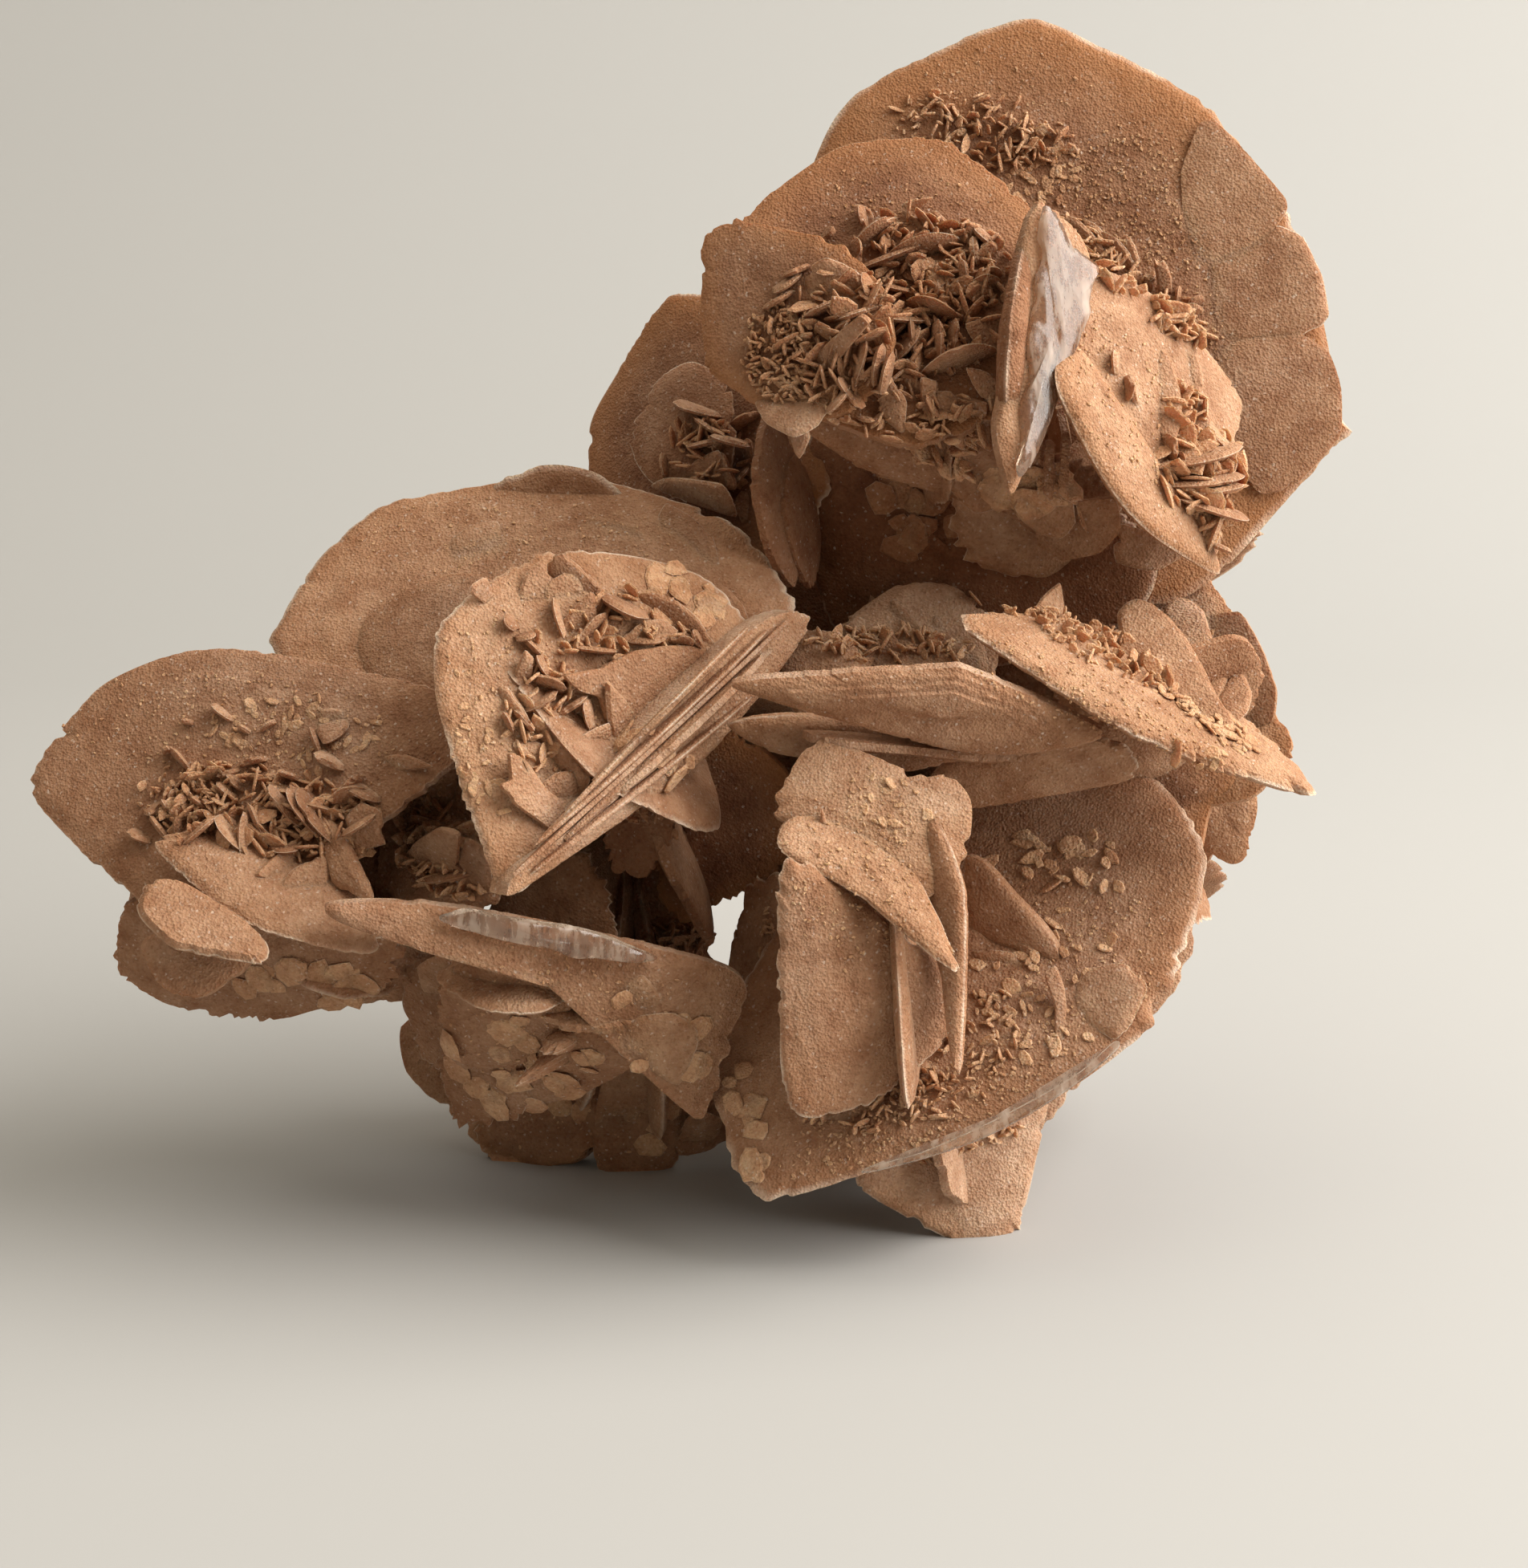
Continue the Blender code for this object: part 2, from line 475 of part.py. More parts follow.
def peaked(bm, face, rise):
    """Raises a face to a peak over its middle."""
    peak = bmesh.ops.poke(bm, faces=[face])["verts"][0]
    peak.co += rise


def closing_face(bm):
    """The face that closes a blade's other side at its rim."""
    rim_edges = [edge for edge in bm.edges if edge.is_boundary]
    return bmesh.ops.contextual_create(bm, geom=rim_edges)["faces"][0]


def lens(rim, normal, thickness):
    """A blade, sharp at its rim: a small one rises to its middle, and a large one has flat faces."""
    bm = bmesh.new()
    front = bm.faces.new([bm.verts.new(point) for point in rim])
    span = max((point - middle(rim)).length for point in rim)
    if span < SMALL_BLADE:
        peaked(bm, front, normal * thickness / 2)
        peaked(bm, closing_face(bm), -normal * thickness / 2)
        return bm
    shoulder_rise = normal * thickness * SHOULDER_SHARE / 2
    cap_rise = normal * thickness * (1 - SHOULDER_SHARE) / 2
    front = drawn_in(bm, front, shoulder_rise, SHOULDER_SCALE)
    back = drawn_in(bm, closing_face(bm), -shoulder_rise, SHOULDER_SCALE)
    if span > LARGE_BLADE:
        drawn_in(bm, front, cap_rise, CAP_SCALE)
        drawn_in(bm, back, -cap_rise, CAP_SCALE)
    return bm


def finish_blade(name, bm, collection):
    """Stands a blade in its place as an object of its own."""
    for vert in bm.verts:
        vert.co = standing(vert.co)
    bmesh.ops.recalc_face_normals(bm, faces=bm.faces)
    mesh = bpy.data.meshes.new(name)
    bm.to_mesh(mesh)
    bm.free()
    blade = bpy.data.objects.new(name, mesh)
    collection.objects.link(blade)
    return blade


def plate_plane(name):
    """A drawn blade's middle and facing."""
    depth, turn, tip, _, outline = PLATES[name]
    x = sum(point[0] for point in outline) / len(outline)
    z = sum(point[1] for point in outline) / len(outline)
    return sighted(x, z, depth), facing(turn, tip)


def plate(name, collection):
    """A blade whose outline is drawn."""
    _, _, _, thickness, outline = PLATES[name]
    centre, normal = plate_plane(name)
    rim = [onto_plane(x, z, centre, normal) for x, z in outline]
    return finish_blade(name, lens(rim, normal, thickness), collection)


def almond(one, other, half_width, normal, sides):
    """The rim of a pointed blade between two tips."""
    length = (other - one).length
    along = (other - one).normalized()
    across = along.cross(normal)
    rim = []
    for step in range(sides):
        angle = 2 * math.pi * step / sides
        swell = half_width * math.sin(angle) * (1 - 0.25 * abs(math.cos(angle)))
        rim.append((one + other) / 2 - along * (length / 2 * math.cos(angle)) + across * swell)
    return rim


def rolled(one, other, roll):
    """The facing of a blade that is turned about its own length, away from facing the viewer."""
    along = (other - one).normalized()
    toward = Vector((0.0, -1.0, 0.0))
    front = (toward - along * toward.dot(along)).normalized()
    return front * math.cos(math.radians(roll)) + front.cross(along) * math.sin(math.radians(roll))


def leaf(name, collection):
    """A pointed blade seen partly edge on, between two tips."""
    one, other, half_width, roll, thickness = LEAVES[name]
    one = sighted(one[0], one[2], one[1])
    other = sighted(other[0], other[2], other[1])
    normal = rolled(one, other, roll)
    rim = almond(one, other, half_width, normal, LEAF_SIDES)
    return finish_blade(name, lens(rim, normal, thickness), collection)


def back_disc(name, collection):
    """A rounded blade at the back, given by its middle, facing and radius."""
    x, depth, z, turn, tip, radius, stretch, thickness = BACK_DISCS[name]
    chance = random.Random(name)
    normal = facing(turn, tip)
    across = normal.orthogonal().normalized()
    along = normal.cross(across)
    swing = chance.uniform(0, 2 * math.pi)
    rim = []
    for step in range(DISC_SIDES):
        angle = 2 * math.pi * step / DISC_SIDES
        reach = radius * (1 + 0.07 * math.cos(3 * angle + swing) + 0.05 * math.cos(5 * angle - swing))
        rim.append(across * reach * stretch * math.cos(angle) + along * reach * math.sin(angle))
    centre = Vector((x, depth, z))
    return finish_blade(name, lens([centre + point for point in rim], normal, thickness), collection)


def petal(number, collection):
    """A small blade that rises off a larger one from the line between its first two drawn points."""
    host, lean, thickness, outline = PETALS[number]
    lean = math.radians(lean)
    centre, front = plate_plane(host)
    surface = centre + front * (PLATES[host][3] / 2 - SMALL_ROOT)
    ground = [onto_plane(x, z, surface, front) for x, z in outline]
    hinge = (ground[1] - ground[0]).normalized()
    away = middle(ground[2:]) - ground[0]
    away = (away - hinge * away.dot(hinge)).normalized()
    normal = front * math.cos(lean) - away * math.sin(lean)
    rim = [onto_plane(x, z, ground[0], normal) for x, z in outline]
    sunk = (away * math.cos(lean) + front * math.sin(lean)) * SMALL_ROOT
    rim[0] -= sunk
    rim[1] -= sunk
    return finish_blade(f"petal_{number:03d}", lens(rim, normal, thickness), collection)


def upright(number, collection):
    """A small blade that stands out of a larger one: two low four-sided pyramids base to base."""
    host, one, other, reach, thickness = EDGES[number]
    centre, front = plate_plane(host)
    surface = centre + front * PLATES[host][3] / 2
    one = onto_plane(one[0], one[1], surface, front)
    other = onto_plane(other[0], other[1], surface, front)
    normal = rolled(one, other, UPRIGHT_ROLL)
    along = (other - one).normalized()
    bm = bmesh.new()
    bmesh.ops.create_uvsphere(bm, u_segments=CRYSTAL_SIDES, v_segments=2, radius=1.0)
    size = Matrix.Diagonal(((other - one).length / 2, reach, thickness / 2))
    turned = Matrix((along, along.cross(normal), normal)).transposed()
    for vert in bm.verts:
        vert.co = (one + other) / 2 + turned @ (size @ vert.co)
    return finish_blade(f"edge_{number:03d}", bm, collection)


def gypsum():
    material = bpy.data.materials.new("sand_filled_gypsum")
    material.use_nodes = True
    shader = material.node_tree.nodes["Principled BSDF"]
    shader.inputs["Base Color"].default_value = GYPSUM_COLOUR
    shader.inputs["Roughness"].default_value = GYPSUM_ROUGHNESS
    shader.inputs["Metallic"].default_value = 0.0
    return material


def blades(collection):
    """Every blade and crystal, each a closed solid that passes through its neighbours."""
    made = [plate(name, collection) for name in PLATES]
    made += [leaf(name, collection) for name in LEAVES]
    made += [back_disc(name, collection) for name in BACK_DISCS]
    made += [petal(number, collection) for number in range(len(PETALS))]
    made += [upright(number, collection) for number in range(len(EDGES))]
    return made


def new_collection(name, hidden=False):
    collection = bpy.data.collections.new(name)
    bpy.context.scene.collection.children.link(collection)
    collection.hide_render = hidden
    return collection


def join_growth(rose, growth):
    """Joins every blade of the growth to the rose's own, and drops what the joining leaves loose."""
    joined = rose.modifiers.new("joined", "BOOLEAN")
    joined.operation = "UNION"
    joined.solver = "EXACT"
    joined.operand_type = "COLLECTION"
    joined.collection = growth
    evaluated = rose.evaluated_get(bpy.context.evaluated_depsgraph_get())
    rose.data = bpy.data.meshes.new_from_object(evaluated)
    rose.modifiers.remove(joined)
    bm = bmesh.new()
    bm.from_mesh(rose.data)
    keep_largest(bm)
    bm.to_mesh(rose.data)
    bm.free()


def keep_largest(bm):
    """Deletes the trapped hollows between blades, which are surfaces of their own."""
    unvisited = set(bm.verts)
    surfaces = []
    while unvisited:
        surface = {unvisited.pop()}
        edge_of_growth = set(surface)
        while edge_of_growth:
            reached = {edge.other_vert(vert) for vert in edge_of_growth for edge in vert.link_edges}
            edge_of_growth = reached - surface
            surface |= edge_of_growth
        unvisited -= surface
        surfaces.append(surface)
    surfaces.sort(key=len)
    loose = [vert for surface in surfaces[:-1] for vert in surface]
    bmesh.ops.delete(bm, geom=loose, context="VERTS")


def floor_cutter(collection):
    """A block whose top is the surface that the cluster stands on."""
    bpy.ops.mesh.primitive_cube_add(size=FLOOR_SIDE * MM, location=(0, 0, -FLOOR_SIDE / 2 * MM))
    floor = bpy.context.object
    floor.name = "floor_cutter"
    floor.users_collection[0].objects.unlink(floor)
    collection.objects.link(floor)
    floor.hide_render = True
    floor.display_type = "WIRE"
    return floor


def main():
    for obj in list(bpy.data.objects):
        bpy.data.objects.remove(obj)
    growth = new_collection("growth", hidden=True)
    for blade in blades(growth):
        blade.hide_render = True
        blade.display_type = "WIRE"
    sand_rose = growth.objects[FIRST_BLADE].copy()
    sand_rose.name = "sand_rose"
    sand_rose.hide_render = False
    sand_rose.display_type = "TEXTURED"
    new_collection("gypsum_sand_rose").objects.link(sand_rose)
    bpy.data.objects.remove(growth.objects[FIRST_BLADE])
    join_growth(sand_rose, growth)
    sand_rose.data.materials.append(gypsum())
    feet = sand_rose.modifiers.new("flat_feet", "BOOLEAN")
    feet.operation = "DIFFERENCE"
    feet.solver = "EXACT"
    feet.object = floor_cutter(new_collection("cutters", hidden=True))


main()
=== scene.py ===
import math
import random

import bpy
import numpy as np
from mathutils import Matrix, Vector
from mathutils.bvhtree import BVHTree


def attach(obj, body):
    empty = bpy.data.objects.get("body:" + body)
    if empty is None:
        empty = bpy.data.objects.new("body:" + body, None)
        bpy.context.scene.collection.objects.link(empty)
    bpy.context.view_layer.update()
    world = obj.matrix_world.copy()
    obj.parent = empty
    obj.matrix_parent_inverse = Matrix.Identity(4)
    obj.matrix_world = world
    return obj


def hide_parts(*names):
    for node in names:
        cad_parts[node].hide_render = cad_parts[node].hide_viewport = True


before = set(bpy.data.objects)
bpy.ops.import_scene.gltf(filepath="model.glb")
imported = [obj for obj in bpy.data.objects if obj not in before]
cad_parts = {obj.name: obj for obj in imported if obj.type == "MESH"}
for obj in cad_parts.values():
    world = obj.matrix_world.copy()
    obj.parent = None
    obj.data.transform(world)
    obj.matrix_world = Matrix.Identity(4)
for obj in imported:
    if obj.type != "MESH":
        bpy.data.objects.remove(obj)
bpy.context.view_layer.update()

# The cluster is laid out on a board that stands square to the line of sight: x to the right and z up, seen
# from one fixed eye point, with depth behind the board. The board then leans back onto the floor. Sizes are
# in mm and angles in degrees. A blade's turn swings its face to the right, and its tip tilts it upward.
MM = 0.001
EYE_DISTANCE = 650.0
EYE_RISE = math.radians(14.0)
EYE = np.array((0.0, -EYE_DISTANCE, 0.0))
LEAN = np.array(Matrix.Rotation(-EYE_RISE, 3, "X"))
CENTRE_SHIFT = np.array((16.7, -33.9, 100.0))
FRAME_WIDTH = 333.2
SENSOR = 36.0

# The drawn blades. name: (depth, turn, tip, thickness, outline), an outline being (x, z) points on the
# board
PLATES = {
    "crown_disc": (34, -8, 6, 9, [(6, 118), (13, 141), (21, 151), (40, 161), (50, 165), (62, 166),
        (92, 151), (104, 139), (114, 125), (120, 109), (126, 80), (126, 75), (99, 46), (85, 39), (61, 41),
        (35, 50), (15, 73), (7, 96)]),
    "crown_crest": (2, -6, 20, 7, [(-9, 113), (-5, 123), (11, 136), (21, 140), (40, 140), (59, 125),
        (64, 113), (63, 96), (52, 80), (33, 73), (10, 80), (-4, 96)]),
    "crown_lobe": (-8, -22, 8, 6, [(-5, 123), (-11, 121), (-14, 116), (-13, 92), (-8, 86), (4, 79),
        (19, 80), (28, 92), (28, 106), (18, 117), (7, 121)]),
    "crown_plate": (-2, 38, 12, 6, [(66, 113), (73, 113), (89, 103), (103, 85), (103, 76), (100, 57),
        (96, 50), (71, 83), (65, 97)]),
    "crown_under": (2, -8, -42, 7, [(8, 80), (29, 83), (54, 80), (66, 66), (69, 59), (61, 54), (54, 59),
        (22, 69)]),
    "back_disc": (52, -30, 8, 7, [(-15, 107), (-22, 105), (-33, 88), (-38, 78), (-38, 66), (-34, 54),
        (-21, 45), (-4, 45), (10, 55), (15, 73), (10, 94), (-2, 105)]),
    "back_scale": (42, -26, 10, 4, [(-15, 92), (-21, 90), (-25, 85), (-29, 76), (-26, 67), (-18, 62),
        (-9, 66), (-6, 76), (-8, 87)]),
    "throat_plate": (30, -18, -14, 8, [(11, 77), (8, 57), (16, 33), (29, 26), (61, 27), (82, 38), (85, 52),
        (66, 66), (39, 72), (23, 70)]),
    "under_lobe": (16, -4, -32, 6, [(42, 66), (41, 55), (46, 48), (56, 45), (66, 46), (78, 59), (75, 68),
        (57, 73)]),
    "shoulder_disc": (16, -6, 34, 8, [(-107, 29), (-106, 35), (-97, 49), (-86, 59), (-78, 62), (-49, 67),
        (-30, 65), (-6, 56), (7, 38), (1, 24), (-13, 8), (-37, -1), (-69, 3), (-93, 13)]),
    "heart_disc": (-16, 24, 16, 7, [(-62, 43), (-71, 34), (-72, 29), (-70, 12), (-57, -23), (-44, -15),
        (-23, 3), (-9, 20), (-4, 34), (-13, 45), (-30, 50), (-48, 50)]),
    "small_petal": (6, -22, 24, 5, [(-89, 28), (-86, 37), (-75, 44), (-61, 46), (-55, 38), (-56, 22),
        (-69, 13), (-83, 17)]),
    "left_disc": (2, -14, 22, 7, [(-160, -2), (-148, 18), (-138, 25), (-125, 29), (-109, 29), (-85, 24),
        (-72, 21), (-63, 15), (-66, 5), (-98, -20), (-114, -27), (-132, -29), (-139, -24)]),
    "left_ledge": (-16, 20, 46, 6, [(-132, -12), (-131, -16), (-118, -27), (-106, -33), (-86, -37),
        (-84, -30), (-90, -22), (-97, -15), (-109, -11), (-123, -10)]),
    "left_coin": (-27, 12, 36, 4, [(-136, -24), (-133, -21), (-126, -22), (-113, -30), (-108, -36),
        (-110, -39), (-128, -36), (-136, -29)]),
    "left_saucer": (-19, -6, 6, 3.5, [(-136, -36), (-132, -44), (-126, -47), (-120, -46), (-110, -38),
        (-113, -32), (-125, -30), (-134, -32)]),
    "left_under": (6, -10, -34, 6, [(-139, -25), (-142, -38), (-134, -46), (-126, -49), (-107, -51),
        (-92, -48), (-84, -46), (-79, -39), (-79, -30), (-91, -23), (-111, -20), (-128, -20)]),
    "left_tail": (20, 4, -30, 5, [(-93, -39), (-91, -47), (-84, -48), (-65, -44), (-62, -37), (-72, -30),
        (-86, -30)]),
    "gully_disc": (14, -12, 0, 5, [(-79, 13), (-84, -15), (-83, -23), (-72, -28), (-58, -26), (-53, -15),
        (-58, 3), (-69, 13)]),
    "gully_fan": (4, -34, 6, 5, [(-82, -22), (-79, -15), (-72, -9), (-64, -8), (-58, -15), (-58, -26),
        (-69, -29), (-79, -28)]),
    "glass_ledge": (-20, 10, -16, 11, [(-96, -26), (-82, -25), (-63, -27), (-7, -40), (-7, -55), (-11, -69),
        (-16, -72), (-37, -45), (-69, -34), (-92, -30)]),
    "foot_wing": (12, -30, -26, 5, [(-79, -42), (-75, -58), (-68, -64), (-62, -62), (-53, -53), (-55, -41),
        (-69, -36)]),
    "foot_shell": (-8, -18, -40, 5, [(-71, -43), (-70, -56), (-68, -60), (-65, -62), (-56, -63), (-43, -52),
        (-41, -46), (-51, -39), (-63, -38)]),
    "foot_lip": (-15, 2, 56, 5, [(-71, -43), (-62, -49), (-53, -50), (-46, -49), (-38, -42), (-44, -38),
        (-58, -37), (-69, -39)]),
    "foot_scale": (10, -26, -28, 5, [(-71, -60), (-66, -74), (-53, -72), (-48, -64), (-55, -55),
        (-65, -56)]),
    "foot_fan": (-4, -14, -50, 5, [(-54, -70), (-42, -68), (-35, -65), (-27, -60), (-28, -55), (-37, -53),
        (-46, -55), (-51, -60)]),
    "foot_disc": (50, -16, -20, 7, [(-62, -71), (-62, -79), (-49, -84), (-38, -81), (-34, -76), (-35, -64),
        (-46, -58), (-56, -62)]),
    "foot_blade": (46, 6, -18, 7, [(-40, -70), (-36, -84), (-33, -86), (-23, -86), (-19, -82), (-13, -60),
        (-18, -51), (-30, -50), (-39, -57)]),
    "foot_chip": (50, 24, -12, 6, [(-23, -62), (-21, -74), (-19, -81), (-10, -79), (-6, -74), (-8, -62)]),
    "heart_under": (30, -10, -24, 6, [(-24, -18), (-23, -25), (-20, -29), (-16, -30), (4, -18), (8, -4),
        (1, 8), (-13, 13), (-23, 6), (-27, -6)]),
    "heart_flap": (2, -16, -10, 5, [(-35, -11), (-34, -17), (-32, -20), (-25, -20), (-18, -8), (-18, 3),
        (-27, 6), (-34, -1)]),
    "gate_left": (14, -26, -4, 6, [(-46, -15), (-38, -15), (-35, -20), (-32, -33), (-37, -39), (-58, -32),
        (-60, -20), (-55, -15)]),
    "gate_sill": (42, 10, 22, 6, [(-28, -33), (-24, -29), (-18, -29), (-12, -32), (-12, -37), (-8, -42),
        (-10, -57), (-21, -62), (-33, -55), (-33, -41)]),
    "gate_right": (18, -44, 4, 6, [(4, -20), (-1, -20), (-4, -25), (-8, -44), (-8, -69), (-4, -78),
        (4, -74), (8, -57), (10, -36)]),
    "bowl_disc": (-4, -16, 30, 9, [(-11, -62), (-7, -82), (-4, -87), (6, -90), (57, -72), (82, -55),
        (85, -48), (89, -43), (96, -22), (95, -11), (85, 1), (64, 6), (40, 3), (19, -13), (0, -36)]),
    "bowl_wall": (16, -20, 6, 9, [(104, 1), (98, -5), (96, -14), (92, -24), (82, -30), (64, -27), (52, -15),
        (50, 3), (59, 13), (78, 15), (96, 10)]),
    "hood_disc": (-28, -4, 18, 6, [(15, 10), (9, 8), (5, 3), (2, -5), (4, -15), (12, -22), (26, -27),
        (38, -25), (45, -15), (46, -4), (41, 2), (34, 2)]),
    "hood_ledge": (-35, 14, 40, 3.5, [(4, -15), (5, -8), (14, -6), (22, -8), (29, -15), (35, -23),
        (42, -41), (20, -24)]),
    "hood_wall": (-34, 16, -6, 6, [(4, -17), (3, -41), (6, -71), (24, -69), (40, -55), (42, -43),
        (14, -20)]),
    "bowl_shelf": (-10, -8, -40, 6, [(35, -6), (75, 0), (82, 3), (78, 9), (66, 11), (49, 9), (38, 4)]),
    "spike": (8, 14, -6, 7, [(20, -85), (22, -89), (36, -97), (53, -102), (63, -60), (50, -55), (35, -62),
        (24, -74)]),
    "right_fan": (22, -24, 18, 6, [(61, 31), (64, 36), (82, 48), (87, 50), (94, 49), (108, 29), (112, 15),
        (115, 11), (115, 5), (106, -4), (91, -4), (73, 6), (63, 19)]),
    "right_tray": (-18, 38, 50, 6, [(44, 37), (64, 36), (78, 31), (103, 15), (120, -1), (113, -1), (82, 10),
        (48, 31)]),
    "right_lens": (-26, -2, -30, 9, [(-6, 23), (37, 26), (46, 25), (73, 13), (70, 9), (56, 7), (40, 8),
        (0, 19)]),
    "right_keel": (-16, -14, -24, 7, [(20, 19), (20, 9), (22, 6), (28, 4), (33, 3), (54, 9), (54, 17),
        (40, 22)]),
    "left_lens": (-14, -6, -42, 6, [(-8, 13), (5, 15), (29, 13), (26, 7), (15, 6), (1, 8)]),
    "right_ear": (34, -6, -14, 5, [(97, -15), (102, -18), (106, -15), (108, -1), (103, 6), (94, 5),
        (92, -6)]),
    "nest_disc": (24, -4, 24, 6, [(15, 31), (18, 36), (28, 43), (36, 44), (42, 43), (48, 38), (52, 31),
        (49, 20), (35, 17), (21, 20)]),
    "nest_rim": (36, 4, 20, 4, [(36, 38), (43, 45), (54, 43), (57, 40), (56, 31), (43, 27)]),
    "nest_lobe": (12, -14, 22, 6, [(3, 26), (6, 33), (15, 33), (21, 29), (22, 20), (17, 13), (7, 15)]),
    "left_knife": (-14, -32, 8, 4, [(-101, -1), (-96, -5), (-91, -12), (-85, -25), (-90, -24), (-94, -21)]),
    "crown_keel": (-14, 44, 15, 5, [(65, 96), (69, 94), (93, 59), (99, 48), (98, 46), (85, 54), (75, 65),
        (64, 86)]),
    "crown_spear": (-22, 30, 0, 6, [(60, 127), (71, 112), (55, 65), (52, 67), (50, 76), (51, 83), (54, 89),
        (55, 115)]),
    "heart_stack": (-17, 40, -5, 10, [(-58, -22), (-55, -23), (-18, 3), (-3, 19), (8, 34), (7, 38),
        (-2, 36), (-21, 20), (-28, 13), (-37, 0), (-43, -5), (-46, -11), (-55, -18)]),
    "bowl_knife": (-34, -45, 0, 5, [(37, -7), (43, -20), (44, -32), (43, -60), (42, -62), (40, -44),
        (35, -29), (34, -20)]),
    "foot_terrace": (-16, -6, 52, 4, [(-49, -49), (-46, -53), (-36, -54), (-28, -53), (-26, -49),
        (-38, -46)]),
    "foot_terrace_2": (-12, -6, 50, 4, [(-49, -57), (-46, -59), (-38, -55), (-31, -55), (-35, -52),
        (-44, -53)]),
    "foot_terrace_3": (-8, -8, 46, 4, [(-54, -66), (-38, -57), (-27, -57), (-34, -54), (-44, -57),
        (-51, -62)]),
}

# Narrow blades seen nearly edge-on. name: (one tip, other tip, half width, roll, thickness), a tip being
# (x, depth, z)
LEAVES = {
    "crown_spine": ((60, -10, 125), (54, -14, 66), 18, 74, 9),
    "heart_edge": ((-53, -24, -18), (4, 10, 34), 18, 78, 5),
    "throat_blade": ((1, 20, 81), (6, 22, 42), 12, 62, 5),
    "throat_blade_2": ((6, 26, 73), (10, 28, 42), 12, 70, 4),
}

# Plain blades at the back and underneath. name: (x, depth, z, turn, tip, radius, stretch, thickness)
BACK_DISCS = {
    "crown_fin": (36, 20, 88, 96, 6, 27, 1.1, 6),
    "crown_fin_low": (78, 42, 68, 64, -24, 26, 1.1, 6),
    "bowl_fin_deep": (30, -14, -40, 84, 4, 24, 1.3, 6),
    "bowl_fin_side": (66, 30, -22, 96, 30, 22, 1.1, 6),
    "tray_fin": (90, 2, 16, 20, -38, 17, 1.3, 6),
    "keel_fin": (36, 4, 12, 30, 76, 26, 1.3, 6),
    "heart_fin": (-34, 0, 18, 60, 40, 30, 1.2, 7),
    "hip_fin": (-30, 62, -50, 100, 4, 32, 1.2, 7),
    "gate_fin": (-20, 22, -14, 84, 20, 22, 1.0, 6),
    "loin_fin": (-38, 38, -20, 74, 10, 30, 1.1, 7),
    "loin_disc": (-36, 56, -24, 176, 6, 20, 1.1, 6),
    "saddle_disc": (58, 46, 26, 172, 6, 30, 1.2, 7),
    "spike_fin": (44, 22, -66, 70, 10, 26, 1.2, 7),
    "nape_disc": (66, 72, 84, 168, 8, 44, 1.15, 8),
    "nape_fin": (62, 64, 82, 96, 12, 42, 1.1, 7),
    "nape_fin_low": (46, 66, 60, 130, -30, 40, 1.0, 7),
    "nape_shelf": (78, 62, 66, 170, 62, 36, 1.2, 6),
    "nape_crest": (86, 60, 108, 205, 24, 28, 1.1, 5),
    "spine_disc": (10, 60, 24, 190, -6, 48, 1.1, 9),
    "spine_fin": (20, 68, 30, 100, 0, 34, 1.1, 8),
    "spine_shelf": (24, 58, 8, 175, 70, 44, 1.2, 7),
    "shoulder_back": (-52, 50, 26, 170, 20, 42, 1.2, 8),
    "shoulder_fin": (-46, 40, 16, 80, 14, 33, 1.1, 7),
    "shoulder_keel": (-66, 40, 8, 190, -46, 32, 1.1, 6),
    "wing_back": (-112, 30, -12, 168, 14, 34, 1.25, 7),
    "wing_fin": (-104, 22, -18, 70, 30, 28, 1.1, 6),
    "wing_keel": (-92, 30, -28, 200, -52, 28, 1.1, 6),
    "rump_disc": (52, 62, -40, 172, -8, 44, 1.15, 9),
    "rump_fin": (48, 56, -44, 84, -6, 40, 1.1, 8),
    "rump_shelf": (66, 50, -22, 185, 66, 36, 1.2, 6),
    "heel_disc": (28, 84, -54, 160, -24, 34, 1.2, 8),
    "heel_fin": (34, 78, -52, 60, -12, 32, 1.1, 7),
    "heel_foot": (20, 92, -64, 200, -40, 22, 1.1, 7),
    "hock_disc": (-51, 64, -57, 176, -14, 32, 1.15, 8),
    "hock_fin": (-40, 58, -46, 100, -10, 30, 1.1, 7),
    "flank_disc": (80, 44, 4, 150, 20, 30, 1.1, 7),
    "flank_fin": (80, 40, -6, 60, 40, 30, 1.1, 6),
}

